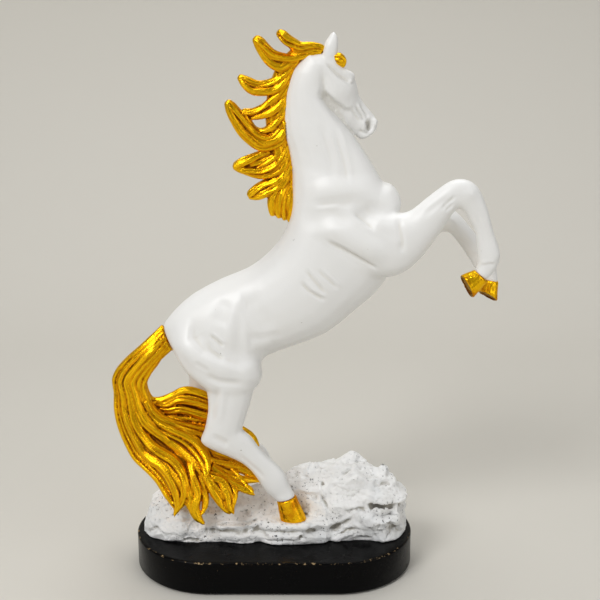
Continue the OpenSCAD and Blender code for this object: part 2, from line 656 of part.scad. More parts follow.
module tail() {
    color(gold)
        translate([0, 0, stand_z]) {
            difference() {
                union() {
                    for (i = [0:len(tail_ribs) - 2])
                        hull() for (rib = [tail_ribs[i], tail_ribs[i + 1]])
                            loft([rib, shrunk(rib, slice_t)], 1, lock_sides);
                    for (path = tail_locks) lock(path, 1);
                }
                trunk_mass();
                rock_with_seats();
                loft(right_hind_ribs, 2, limb_sides);
                loft(left_hind_ribs, 2, limb_sides);
            }
            tail_spigot();
        }
}

module neck_pin() {
    color(steel) translate([0, 0, stand_z]) neck_dowel();
}

module foreleg_pins() {
    color(steel) translate([0, 0, stand_z]) elbow_dowels();
}

module hind_leg_pins() {
    color(steel) translate([0, 0, stand_z]) thigh_dowels();
}

module hoof_pins() {
    color(steel) translate([0, 0, stand_z]) hoof_dowels();
}

base_felt();
plinth();
rock();
rock_screws();
trunk();
neck_and_head();
foreleg(right_foreleg_ribs);  // right_foreleg
foreleg(left_foreleg_ribs);  // left_foreleg
hind_leg(right_hind_ribs);  // right_hind_leg
hind_leg(left_hind_ribs);  // left_hind_leg
hoof(right_fore_coronet, right_fore_sole);  // right_fore_hoof
hoof(left_fore_coronet, left_fore_sole);  // left_fore_hoof
hoof(right_hind_coronet, right_hind_sole);  // right_hind_hoof
hoof(left_hind_coronet, left_hind_sole);  // left_hind_hoof
mane();
forelock();
tail();
neck_pin();
foreleg_pins();
hind_leg_pins();
hoof_pins();
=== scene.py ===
"""Looks of a rearing horse statue: white castings, gold hair and hooves, a rough rock and a black plinth.

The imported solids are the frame. Shapes are worked in millimetres and become pieces in metres, and the stage is in
metres from the start.
"""
import math

import bmesh
import bpy
import numpy as np
from bpy.props import FloatProperty, FloatVectorProperty, IntProperty, PointerProperty
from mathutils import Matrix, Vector, noise
from mathutils.kdtree import KDTree


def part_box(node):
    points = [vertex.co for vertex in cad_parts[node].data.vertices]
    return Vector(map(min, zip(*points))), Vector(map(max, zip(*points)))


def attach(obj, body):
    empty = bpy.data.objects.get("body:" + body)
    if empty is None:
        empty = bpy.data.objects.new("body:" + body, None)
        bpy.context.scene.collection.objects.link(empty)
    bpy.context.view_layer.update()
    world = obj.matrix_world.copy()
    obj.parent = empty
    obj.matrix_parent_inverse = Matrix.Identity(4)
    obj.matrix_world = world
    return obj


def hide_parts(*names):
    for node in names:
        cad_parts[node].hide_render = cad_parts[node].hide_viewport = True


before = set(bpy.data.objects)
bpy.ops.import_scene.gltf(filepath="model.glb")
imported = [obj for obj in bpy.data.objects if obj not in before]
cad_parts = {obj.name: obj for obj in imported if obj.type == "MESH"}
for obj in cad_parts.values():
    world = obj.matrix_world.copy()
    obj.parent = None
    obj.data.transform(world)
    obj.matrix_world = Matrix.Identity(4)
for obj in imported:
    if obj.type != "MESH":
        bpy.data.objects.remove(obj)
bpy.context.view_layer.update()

bl_info = {
    "name": "Horse statue",
    "version": (1, 0, 0),
    "blender": (4, 5, 0),
    "location": "View3D > Sidebar > Statue",
    "description": "Dresses a rearing horse statue with its castings, hair, rock and plinth",
    "category": "Object",
}

MM = 0.001
TINY = 1e-9
BODY = "root"
WHITE_NODES = ("trunk", "neck_and_head", "right_foreleg", "left_foreleg", "right_hind_leg", "left_hind_leg")
HOOF_NODES = ("right_fore_hoof", "left_fore_hoof", "right_hind_hoof", "left_hind_hoof")
STEEL_NODES = ("rock_screws", "neck_pin", "foreleg_pins", "hind_leg_pins", "hoof_pins")

# The photograph's camera: place in metres, degrees that it looks down, lens and sensor in millimetres
CAMERA_PLACE = (0.015, -0.600, 0.322)
CAMERA_DOWN = 15.3
CAMERA_LENS = 67.14
CAMERA_SENSOR = 36.0
# Round soft lights: name, place, width and power
LIGHTS = (
    ("key_light", (-0.75, -1.0, 1.25), 0.75, 14.0),
    ("fill_light", (1.1, -0.9, 0.5), 1.2, 4.5),
    ("low_light", (-0.9, -1.0, 0.3), 0.8, 1.2),
    ("top_light", (0.1, 0.25, 1.5), 1.0, 9.0),
)
LIGHT_TARGET = (0.0, 0.0, 0.15)
ROOM_COLOUR = (1.0, 0.99, 0.97, 1.0)
ROOM_STRENGTH = 0.22

# Seams between the white castings: a point, the direction that points into the limb, and the side of it
SEAMS = {
    "right_foreleg": ((74.25, -12.5, 194.5), (1.0, 0.0, -0.015), -1),
    "left_foreleg": ((74.25, 12.5, 190.5), (1.0, 0.0, -0.018), 1),
    "neck_and_head": ((35.0, 0.0, 228.0), (0.177, 0.0, 0.984), 0),
    "right_hind_leg": ((-24.0, -14.0, 111.5), (0.0, 0.0, -1.0), -1),
    "left_hind_leg": ((-35.0, 14.0, 110.0), (0.0, 0.0, -1.0), 1),
}
# A seam's cut works on faces this near to its plane and to its point, and a limb ends this far above its point
SEAM_BAND = 3
SEAM_REACH = 60
LIMB_TOP = 40

# Places where masses flow into each other: reach, number of smoothing passes, path in side view
FLOWING = (
    (11, 82, ((-58, 138), (-42, 147), (-25, 151), (-12, 143), (-7, 130))),
    (8, 38, ((20, 202), (36, 220), (56, 214), (72, 209))),
    (7, 25, ((26, 188), (44, 178), (62, 173), (76, 178))),
    (7, 38, ((74, 212), (74, 194), (74, 176))),
    (7, 32, ((-12, 116), (-24, 112), (-38, 112), (-52, 112))),
    (8, 38, ((10, 232), (34, 228), (60, 223))),
    (60, 38, ((-40, 150), (10, 168), (60, 200))),
    (7, 16, ((40, 281),)),
)
# The smoothing is full within this share of the reach
FLOWING_FULL = 0.35

# Strokes of the modelling tool in side view: side (-1 right, 1 left, 0 both, 2 all round), reach, depth, edge, path.
# An edge of 1 works only on the left of its path, -1 only on the right, and 0 on both.
MUSCLES = (
    (0, 8, 0.8, 0, ((15, 217.6), (30.8, 222.3), (45, 223.6), (60.2, 223.3))),
    (0, 4.2, -0.6, 0, ((19.8, 213.9), (34, 215.9), (47.7, 217.6))),
    (0, 2, 0.4, 0, ((20.8, 211.7), (29.3, 213), (37.7, 214.2))),
    (0, 8, -0.9, 0, ((12.9, 204.7), (26.7, 206.7), (36.6, 209.3), (48.8, 214))),
    (0, 7, -1.1, 0, ((50.3, 208.5),)),
    (0, 7, -0.8, 0, ((47.7, 211.5),)),
    (0, 7, -0.8, 0, ((53.6, 211.2),)),
    (0, 5, -0.3, 0, ((59, 214.2),)),
    (0, 5.5, -1.3, 1, ((41.3, 211.7), (47.7, 206.6), (55.1, 200.1))),
    (0, 9, 0.7, 0, ((61.9, 219.2), (63, 209.3), (59.3, 199.8))),
    (2, 11, 1.3, 0, ((58.1, 222.9), (64.3, 220.1), (68, 216.1), (69.2, 207.9))),
    (-1, 2.6, -0.9, 0, ((68, 209.3), (67.5, 203.8), (69.1, 196.2), (69.1, 188))),
    (0, 9, 1.9, 0, ((19.3, 207.6), (28.8, 202.9), (41.7, 196.5), (48.6, 192.6), (63.3, 184.1))),
    (0, 1.8, -1.3, 0, ((26.7, 197.1), (38.9, 191), (45.8, 187.1), (58.8, 178.9))),
    (0, 6, -0.7, -1, ((28.3, 196.8), (38.9, 191.3), (45.8, 187.4), (57.1, 180.5))),
    (0, 1.9, -1, 0, ((17.1, 181), (23.5, 173.6), (30, 166.3))),
    (0, 2.2, 0.55, 0, ((18.7, 180.3), (25.1, 173.1), (31.6, 166.2))),
    (0, 1.8, -0.8, 0, ((23.8, 180.9), (29.9, 175.2), (36.5, 168.8))),
    (0, 2.2, 0.5, 0, ((25.4, 180.6), (31.6, 175.1), (37.8, 169.2))),
    (0, 1.9, -1, 0, ((14.5, 174.5), (19.8, 168.7), (29.5, 162.5))),
    (0, 2.2, 0.55, 0, ((16.3, 174.6), (21.7, 169.3), (30.6, 163.9))),
    (0, 9, 0.5, -1, ((-17.1, 171.7), (-14.7, 156.2), (-13.2, 143.7), (-12.3, 128.2))),
    (0, 8, -0.9, 0, ((-14.8, 167.3), (-9.8, 156.8), (-5, 150.9), (2, 146.8))),
    (0, 3.4, -0.3, 0, ((-15.4, 142.1), (-5.7, 142.1), (7.4, 144.2))),
    (0, 5, 0.45, 0, ((-13.8, 137.3), (-6.9, 136.4), (0.8, 137.2))),
    (0, 4, -0.6, 0, ((26, 257.3), (30.8, 241.8), (34, 227.4))),
    (0, 3.4, 0.35, 0, ((28.1, 257.2), (32.6, 241.8), (35.8, 227.4))),
    (0, 3, -0.6, 0, ((32.9, 256.1), (37.6, 240.2), (41.3, 223.4))),
    (0, 3, 0.35, 0, ((34.7, 256), (39.7, 240.2), (43.2, 224.3))),
    (-1, 1.5, -0.8, 0, ((88.7, 211.7), (92.9, 215.9), (97.5, 220))),
    (-1, 1.3, -0.6, 0, ((91.4, 211.1), (96.1, 215.8))),
    (-1, 3.4, -0.4, -1, ((111.5, 181.6), (115.7, 182.9), (120.7, 183.1))),
    (-1, 3, 0.3, 1, ((111.5, 181.6), (115.7, 182.9), (120.7, 183.1))),
)
# Strokes of a thigh and hind leg, for the right one; the left one stands further back
HIND_MUSCLES = (
    (11, -1.8, 1, ((-45.5, 153.6), (-44.2, 141.7), (-37.5, 134.4), (-25.7, 129.5), (-12.8, 122.9))),
    (7, 1, 0, ((-48.8, 149.4), (-47.5, 138.1), (-40.9, 130.9), (-29.5, 126.2), (-13.4, 120.3))),
    (1.6, -1.1, 0, ((-34.6, 144.3), (-25.7, 137.3))),
    (1.8, 0.4, 0, ((-33.2, 145.1), (-24.3, 138.1))),
    (3, -0.8, 0, ((-37.6, 140.5), (-25.1, 129.8))),
    (2.2, 0.45, 0, ((-34.3, 139.5), (-22.7, 129.6))),
    (7, -0.6, 0, ((-24, 163), (-26.6, 156.1), (-29.9, 147.6))),
    (5, 0.45, 0, ((-21.5, 162.2), (-21.5, 151), (-24, 137.8))),
    (5, -0.6, 0, ((-16.9, 163.3), (-18, 146.6), (-17.6, 135.2), (-16.6, 121.2))),
    (10, 0.5, 0, ((-12.3, 129.3), (-13.2, 115))),
    (2.6, -0.4, 0, ((-43.1, 129.6), (-33.3, 124.2))),
    (3, -0.7, 0, ((-37.8, 121.9), (-28.6, 118.2), (-14.5, 117))),
    (2.8, -0.7, 0, ((-29.4, 115.8), (-32.7, 104.1), (-34.9, 90.3))),
    (3, 0.5, 0, ((-25.6, 115.8), (-28.1, 104.1), (-30.3, 91))),
    (3.6, -0.7, 0, ((-35.5, 85.8), (-23.4, 79.5))),
    (2, -0.4, 0, ((-21.2, 75.8), (-11.9, 66.8), (-2.4, 57.4))),
)
LEFT_HIND_SHIFT = (-12.5, -1.0)
# Strokes of the two forelegs
FORE_MUSCLES = (
    (-1, 2.6, -0.4, 0, ((79, 208), (87.1, 214.6), (95, 219.4))),
    (-1, 5, 0.4, 0, ((104.4, 220),)),
    (-1, 1.7, -0.4, 0, ((108.6, 211), (112.3, 200.9), (115.2, 191.5))),
    (1, 2.6, -0.4, 0, ((80, 202), (88, 205.6), (96, 207))),
    (1, 1.7, -0.4, 0, ((104.5, 199), (109, 190), (114, 181.5))),
)
# Front edge of the left foreleg at its knee, drawn back by this far so that light shows between the two legs.
# It works within its reach, on what lies further left than its side.
FAR_KNEE = ((104.1, 212.0), (108.2, 207.5), (110.8, 203.0), (113.3, 197.9), (116.3, 191.6), (119.1, 186.5))
FAR_KNEE_BACK = (-7.4, -3.8)
FAR_KNEE_REACH = 13.0
FAR_KNEE_SIDE = 2.5
# Ears are thickened by this much, from the first height to the second
EAR_BODY = 0.5
EAR_HEIGHTS = (288.0, 292.0)
# The head is turned about the poll, and lies in front of it and above this height
HEAD_TURN = math.radians(14)
POLL_X = 22
HEAD_LOW = 240
OUT_OF_REACH = -1000.0
# Strokes of the head, in side view before the head is turned
FACE = (
    (0, 3, 0.8, 0, ((28.7, 289.8), (35.5, 284), (40.9, 281.2))),
    (0, 1.6, -1.2, 0, ((26, 288.3), (33.3, 281.6), (41.2, 276))),
    (0, 1.4, 0.9, 0, ((40.5, 277.8),)),
    (0, 10, 0.6, 0, ((33.2, 273.4),)),
    (0, 7, 0.6, 1, ((25, 274.5), (29.9, 269.7), (33.7, 266.3), (37.7, 263.3), (41.5, 263.7), (43.9, 267.3))),
    (0, 9, -1.8, -1, ((23.6, 275.6), (29.9, 269.7), (33.7, 266.3), (37.7, 263.3), (42.7, 263.1))),
    (0, 1.3, 0.6, 0, ((41.7, 264.8), (45.2, 260.4), (48.4, 256))),
    (0, 1.3, 0.6, 0, ((44.2, 266.5), (47.3, 261.8), (50.1, 257.5))),
    (0, 1.2, -0.6, 0, ((42.9, 265.2), (46.4, 260.8), (49.3, 256.8))),
    (0, 1.2, -0.6, 0, ((45.8, 266.4), (48.8, 261.8), (51.7, 257.7))),
    (0, 1.6, -0.6, 0, ((40.6, 264.3), (43.8, 259.9), (46.8, 255.3))),
    (0, 2.4, 0.8, 0, ((47.6, 257.6), (49.1, 253.9), (49.8, 249.5))),
    (0, 1.7, 0.9, 0, ((53.5, 257.9), (55.9, 255.6), (52.6, 252.9))),
    (0, 2.7, -3.6, 0, ((50.7, 257.5), (52.4, 253.8), (50.4, 250.2))),
    (0, 1.3, -0.9, 0, ((52.6, 249.5), (49.5, 249.8), (46, 252))),
    (0, 3.4, 0.5, 0, ((49, 248.1),)),
)

# Locks of the mane and forelock in side view, from root to tip: x, z and half thickness
MANE = (
    ((29, 293.5, 1.3), (25.5, 295.5, 1.5), (20.5, 296, 1.9), (15.5, 295.5, 2.4), (11.5, 297, 2.9),
     (8, 299, 3.1), (5.8, 301.2, 2.9), (5, 301.8, 2.5)),
    ((26.5, 293.5, 1.1), (21.5, 293.5, 1.7), (16, 293, 1.9), (12.5, 294, 1.9), (9.5, 297, 1.8),
     (7, 299, 1.7)),
    ((26, 292.5, 1.1), (20.5, 292, 1.7), (15.5, 290.5, 2), (10.5, 289.5, 2.2), (5, 290, 2.5),
     (0.5, 291.5, 2.8), (-3.5, 295, 2.8), (-5.5, 297.2, 2.9), (-7, 298.4, 2.7)),
    ((14, 288, 1.3), (9, 286.5, 2.1), (5, 285, 2.7), (1.5, 286, 2.7), (-2.5, 289.5, 2.5), (-6, 295, 2.4),
     (-7.3, 297.5, 2.2)),
    ((13.5, 287, 1.1), (8.5, 283, 1.9), (4, 279, 2.1), (-2, 276.5, 2.1), (-7.5, 276, 2.1), (-12.5, 278, 2),
     (-16, 279.5, 1.7)),
    ((11.5, 283.5, 1.1), (6.5, 277.5, 2.1), (2, 273.5, 2.4), (-4.5, 272.5, 2.7), (-10, 273, 2.5),
     (-14, 276, 2.2), (-16.5, 279, 1.5)),
    ((11, 280.5, 1.1), (6.5, 273, 1.9), (2, 268, 2.1), (-4, 264, 2.1), (-10, 261.5, 2), (-14.5, 261.5, 1.8)),
    ((9, 273, 1.1), (6, 267.5, 1.9), (2.5, 263.5, 2.4), (-2, 261, 2.5), (-6, 259.5, 2), (-10, 258.5, 1.3)),
    ((7.5, 250, 1.3), (4.5, 246, 2.1), (-0.5, 243.5, 2.4), (-6.5, 243.5, 2.5), (-11.5, 247, 2.7),
     (-16, 251.5, 2.7), (-19.5, 257, 2.5), (-22, 262, 2.3), (-23, 265.5, 2.1)),
    ((7.5, 258.5, 1.3), (5, 252, 2.2), (0.5, 248, 2.7), (-4.5, 247.5, 2.7), (-9.5, 250.5, 2.5),
     (-13.5, 255, 2.5), (-17.5, 260, 2.4), (-20.5, 264, 2.2), (-22.5, 266, 1.9)),
    ((8, 266, 1.2), (5.5, 260, 2), (2.5, 256, 2.3), (-1, 253, 2.3), (-5, 251.5, 1.7), (-9, 252.5, 1.5),
     (-12, 256, 1.7), (-14.5, 260, 1.7)),
    ((7.5, 246.5, 1.2), (4.5, 241, 1.8), (0, 236.5, 1.9), (-5, 233.5, 1.8), (-9, 232, 1.4)),
    ((-1, 240.5, 1.3), (-6, 239, 1.9), (-10.5, 237, 2.3), (-15.5, 235, 2.5), (-19, 233, 2.2)),
    ((3, 240.5, 0.9), (-1.5, 237.5, 1.5), (-6.5, 235, 1.8), (-11.5, 234, 1.8), (-15.5, 233, 1.4)),
    ((8.5, 243.5, 1.2), (5.5, 237.5, 2.2), (1, 232.5, 2.5), (-5.5, 230, 2.5), (-11.5, 230.5, 2.4),
     (-16, 231, 2.3), (-19, 232, 1.9)),
    ((9, 239.5, 1.2), (6.5, 233, 2), (1, 229, 2.1), (-5, 227.5, 1.9), (-10.5, 228, 1.4), (-15, 229.5, 1.2)),
    ((9.5, 235, 1.2), (6.5, 228.5, 2.2), (1.5, 224.5, 2.4), (-3.5, 223, 2.4), (-8, 220.5, 2.5),
     (-11.5, 218, 2.2)),
    ((9.5, 231, 1.2), (6.5, 224.5, 2.3), (1.5, 220.5, 2.5), (-3.5, 218.5, 2.7), (-8, 216.5, 2.2),
     (-11.5, 216, 1.4)),
    ((10.5, 281.5, 1), (6.5, 275, 1.8), (3, 270.5, 1.9), (-1, 268.5, 1.1)),
    ((9, 270, 1), (6.5, 265, 1.9), (4, 260.5, 2.1), (0, 257.5, 1.7)),
    ((8.5, 261.5, 1), (6, 256.5, 1.8), (3.5, 251.5, 1.9), (-0.5, 248.5, 1.1)),
    ((8, 254.5, 1), (5.5, 249, 1.8), (1.5, 245.5, 1.4)),
    ((9, 241.5, 1), (6.5, 235.5, 1.8), (2.5, 231.5, 1.9), (-2, 229, 1.1)),
    ((10, 232, 1), (7.5, 226.5, 1.9), (3.5, 222.5, 2), (-0.5, 221, 1.3)),
    ((6, 224.5, 1.7), (2, 219, 2.5), (0, 214.5, 2.8), (0, 210, 2.5), (0, 207.5, 1.9)),
    ((8.5, 224.5, 1.3), (5, 218.5, 2.7), (3.5, 213, 2.8), (3, 208.5, 2.4), (3.5, 206, 1.7)),
    ((9.5, 222, 1.2), (7.5, 216, 2.5), (6.5, 211, 2.7), (6.5, 207, 2.2), (6.5, 204.5, 1.4)),
    ((10.5, 222, 1.1), (10, 215.5, 2.1), (9.5, 209.5, 2.1), (9, 205, 1.5), (9, 203, 0.9)),
)
FORELOCK = (
    ((29, 289.5, 1.3), (32.5, 290, 2), (35.5, 290, 2.5), (37.5, 288, 2.3), (37.5, 286.5, 1.7)),
    ((31, 289, 1.1), (33.5, 288, 1.8), (36, 287, 1.9), (37, 285.5, 1.2)),
)
# Hair along the crest of the neck: x, y, z and half thickness
CREST = (
    ((28, 0, 293.5, 1), (22.5, 0, 292, 1.7), (17, 0, 289.5, 2.2), (13, 0, 286, 2.4), (10.5, 0, 280.5, 2.4),
     (8.5, 0, 272, 2.4), (8, 0, 261.5, 2.2)),
    ((8.5, 0, 263.5, 1.9), (8, 0, 255, 2.4), (8, 0, 245.5, 2.5), (9, 0, 236, 2.7), (9.5, 0, 226, 2.7),
     (10.5, 0, 216.5, 2.3), (10, 0, 207.5, 1.7)),
    ((7, 0, 246, 1.3), (2, 0, 242, 1.9), (-2.5, 0, 240, 1.9), (-7.5, 0, 239, 1.3)),
    ((8, 0, 233.5, 1.3), (3, 0, 228, 1.9), (-1.5, 0, 225, 1.8), (-6, 0, 223.5, 1.1)),
    ((4.5, 0, 262.5, 1.3), (1, 0, 258.5, 1.7), (-1.5, 0, 255, 1.4)),
)
# Locks of the tail from root to tip: x, y on the near side, y on the far side, z and half thickness
TAIL = (
    ((-61.5, 0.5, 1.5, 142, 1.7), (-73, -2.5, 2.5, 130.5, 2), (-83.5, -2, 2, 120.5, 2.3),
     (-88.5, -2, 0, 113, 2.6), (-88, -4, 2, 104.5, 2.4), (-88, -5, 0.5, 96, 2.6), (-87, -5, -0.5, 88, 2.7),
     (-84.5, -6, -3, 80.5, 2.9), (-81.5, -8, -5.5, 74.5, 3), (-78, -10, -8, 69, 3.2),
     (-74, -12, -10.5, 65.5, 3.2), (-69.5, -14.5, -12.5, 62, 3), (-65, -17, -15, 58, 2.9),
     (-62, -19, -17.5, 54, 2.7), (-59.5, -21.5, -20, 50, 2.3), (-57, -23.5, -20.5, 47, 1.4),
     (-55.5, -25, -21, 46, 0.5)),
    ((-61, -0.5, 1, 139.5, 1.7), (-71, -3.5, 3, 129.5, 2.2), (-80.5, -3, 2.5, 120.5, 2.4),
     (-85.5, -3.5, 1.5, 112.5, 2.7), (-84.5, -5.5, 2.5, 104.5, 2.7), (-84, -6.5, 2, 96.5, 2.7),
     (-82, -8.5, 1.5, 90, 2.9), (-79.5, -9.5, 0, 83.5, 3), (-76.5, -11.5, -2, 78, 3),
     (-73, -13, -5, 72.5, 3.2), (-68.5, -15.5, -8, 69, 3.3), (-63.5, -17.5, -12, 66.5, 3.3),
     (-59.5, -19.5, -18.5, 63, 3.5), (-56.5, -21.5, -20, 58.5, 3.5), (-54.5, -23, -22, 53.5, 3.3),
     (-53.5, -24, -23, 49, 2.9), (-53.5, -25, -23.5, 44, 2.2), (-55, -25.5, -23.5, 41, 1.3),
     (-55.5, -26.5, -23, 39.5, 0.5)),
    ((-60, -2, 2.5, 137, 1.7), (-69.5, -5, 3.5, 128, 2.2), (-77.5, -5.5, 3.5, 119.5, 2.4),
     (-82, -5.5, 3, 112.5, 2.7), (-80.5, -6.5, 3.5, 105, 2.7), (-79.5, -7.5, 3, 97, 2.9),
     (-78, -9, 2, 90, 3.2), (-75, -10.5, 0.5, 84, 3.3), (-71, -13, -1.5, 79, 3.3), (-66.5, -15, -4, 75, 3.5),
     (-61.5, -16, -7, 72, 3.6), (-56.5, -17.5, -12.5, 69, 3.6), (-53, -19.5, -16.5, 65, 3.5),
     (-50.5, -22.5, -19, 61, 3.2), (-49.5, -24.5, -21.5, 56.5, 2.9), (-49.5, -25.5, -24, 51.5, 2.4),
     (-51, -25.5, -24.5, 46.5, 1.9), (-53, -26, -22, 43, 0.7)),
    ((-59, -2.5, 2, 134.5, 1.7), (-68, -4.5, 3.5, 126, 2.2), (-75, -5.5, 3.5, 118.5, 2.4),
     (-79, -6, 3.5, 112, 2.6), (-78, -6.5, 3.5, 105, 2.7), (-76, -7.5, 3, 97, 3), (-72.5, -9, 1, 90, 3.7),
     (-68, -9.5, -0.5, 85, 3.6), (-63, -10.5, -2.5, 81, 3.2), (-58.5, -11, -5, 77, 2.9),
     (-54.5, -12.5, -8, 73.5, 2.7), (-51.5, -14.5, -13, 69.5, 2.6), (-49, -16.5, -15.5, 65, 2.4),
     (-48, -19.5, -18.5, 60, 2.3), (-48, -23.5, -21.5, 55, 2.2), (-48, -25.5, -24, 50, 1.9),
     (-47.5, -27, -25, 45, 1)),
    ((-58.5, -2.5, 3, 132.5, 1.7), (-67, -4, 2.5, 124, 2), (-73, -5, 2.5, 117, 2.3),
     (-76, -5.5, 3.5, 111, 2.4), (-75, -5, 3, 103.5, 2.6), (-72, -6, 2.5, 96.5, 2.6),
     (-67.5, -7.5, 1, 90, 2.9), (-62.5, -9, -2, 86, 3.2), (-56.5, -10, -5.5, 83, 3.6),
     (-51, -10.5, -6.5, 80.5, 4), (-46, -11.5, -7.5, 77, 4.5), (-42, -14, -9.5, 73, 4.5),
     (-39, -17.5, -11.5, 69, 4), (-37.5, -21.5, -14.5, 66, 2.9), (-37.5, -25, -15.5, 63.5, 1.3)),
    ((-57.5, -2.5, 3, 130.5, 1.4), (-66, -3.5, 2, 123, 1.7), (-70.5, -4.5, 2, 116, 1.9),
     (-73.5, -5, 2, 109.5, 2), (-72.5, -5, 1.5, 103, 2), (-69, -5.5, 2.5, 96.5, 2), (-64, -6.5, 2, 91.5, 2),
     (-57, -7, -0.5, 88, 2), (-48.5, -4.5, 0, 84.5, 2), (-40.5, -3, 1, 82, 1.9), (-34, -3, 1.5, 81, 1.4)),
    ((-72, -7, 2.5, 100.5, 1.4), (-68.5, -7.5, 2.5, 94.5, 1.9), (-62.5, -8.5, 0.5, 89.5, 2),
     (-55, -8.5, -2, 86, 2), (-47.5, -7, -2.5, 82.5, 2), (-40, -6, -2.5, 79.5, 1.6)),
    ((-48, -14, -11, 71, 1.7), (-46.5, -16.5, -14.5, 67.5, 2.7), (-45, -20, -18, 62.5, 3.3),
     (-43.5, -22, -21, 57.5, 3.5), (-42.5, -24, -23, 52.5, 3.3), (-43.5, -26.5, -25.5, 47.5, 2.9),
     (-43.5, -27.5, -26.5, 43, 2.6), (-41.5, -28.5, -27.5, 39, 2), (-39.5, -29, -28, 36.5, 1.2),
     (-38.5, -29.5, -27.5, 36, 0.5)),
    ((-48.5, -18.5, -15.5, 64, 1.4), (-46.5, -22, -19, 59.5, 2.2), (-45.5, -24.5, -22, 54, 2.3),
     (-46, -26.5, -25, 48, 2), (-45.5, -27.5, -26.5, 43, 1.7), (-43.5, -28.5, -27, 39, 1.2),
     (-42, -29, -28, 37, 0.5)),
    ((-43, -18.5, -15.5, 64, 1.6), (-40.5, -21.5, -19, 59, 2.2), (-39, -22.5, -21.5, 53.5, 2.3),
     (-38, -24, -23, 48, 2.2), (-38.5, -26, -25, 44, 1.6), (-39.5, -28, -27, 41.5, 0.6)),
    ((-39, -20, -17.5, 62, 1.6), (-36.5, -22, -20, 58.5, 2.4), (-34, -24, -22.5, 54.5, 2.7),
     (-31.5, -25, -23.5, 50.5, 2.7), (-28.5, -26, -25, 46, 2.3), (-26, -27.5, -26.5, 43, 1.4),
     (-24, -28, -25.5, 41.5, 0.5)),
    ((-38, -19.5, -16, 63, 1.6), (-34, -20.5, -18, 60.5, 2.7), (-29.5, -21, -19.5, 58.5, 3.2),
     (-27, -23, -22, 55, 3.3), (-25.5, -25, -24, 51, 3), (-25, -27, -26, 47, 2.3),
     (-23.5, -28.5, -25.5, 44, 1.3), (-22, -29, -26, 42, 0.5)),
    ((-31, -17.5, -13, 61.5, 1.4), (-26.5, -18, -13, 59, 2.2), (-23.5, -20.5, -18.5, 55, 2.3),
     (-21.5, -23.5, -22.5, 51.5, 2), (-22, -26, -25, 48, 1.6), (-22.5, -27.5, -26, 45, 1),
     (-22, -28, -26.5, 42, 0.5)),
)
# Locks of the tail that pass behind the right hind leg: x, y, z and half thickness
TAIL_BEHIND_LEG = (
    ((-38, -9.5, 73.5, 1.4), (-32, -9, 70, 2), (-26, -9, 67, 2.2), (-20.5, -10, 64.5, 1.9),
     (-14.5, -11.5, 62, 1)),
    ((-36, -13, 68, 1.6), (-30.5, -12.5, 65.5, 2.3), (-24, -12, 63.5, 2.6), (-18.5, -12, 61.5, 2.6),
     (-13.5, -13, 59, 2.2), (-9.5, -15, 56.5, 1.3), (-7, -16, 55.5, 0.5)),
    ((-34.5, -15, 65.5, 1.7), (-29, -15.5, 61.5, 2.4), (-23.5, -16, 59, 2.7), (-18, -17, 57.5, 2.4),
     (-12, -16.5, 56.5, 1.6), (-8, -16, 55.5, 0.5)),
    ((-32, -16, 63.5, 1.4), (-25, -17.5, 58.5, 2), (-18.5, -19, 55.5, 2), (-13, -20.5, 53.5, 1.4),
     (-11, -22, 52.5, 0.5)),
    ((-35, -17, 65, 1.6), (-29.5, -18, 60.5, 2.3), (-23.5, -19.5, 56.5, 2.4), (-17, -21, 53.5, 2.2),
     (-12.5, -22.5, 51.5, 1.3), (-10.5, -23.5, 51, 0.5)),
)
# Far clump of the tail between the hind legs, in the same way
TAIL_CLUMP = (
    ((-70.5, 1, 99, 1.4), (-64.5, 1, 98.5, 2), (-58, 1, 101, 2.2), (-52, 1, 104, 2.4), (-46.5, 1, 104, 2.6),
     (-38.5, 1, 101, 2.4), (-29.5, 1, 95.5, 2.2)),
    ((-68.5, 0.5, 97, 1.4), (-61.5, 0.5, 96, 2.4), (-54.5, 0.5, 99, 2.9), (-47, 0.5, 98.5, 3.2),
     (-38.5, 0.5, 95.5, 3), (-28.5, 0.5, 90.5, 2.6)),
    ((-67.5, 1, 94, 1.7), (-60.5, 1, 92.5, 3), (-53, 1, 93.5, 3.3), (-45.5, 1, 91.5, 3.3),
     (-37.5, 1, 88.5, 3.2), (-28, 1, 84.5, 2.9), (-19, 1, 80, 2.9), (-13, 1, 76, 2.6), (-9.5, 1, 71, 1.3)),
    ((-64, 1, 90, 1.7), (-56.5, 1, 87.5, 2.9), (-48, 1, 86, 3.2), (-39, 1, 84, 3), (-28.5, 1, 80, 2.6),
     (-19, 1, 76, 2.2)),
)
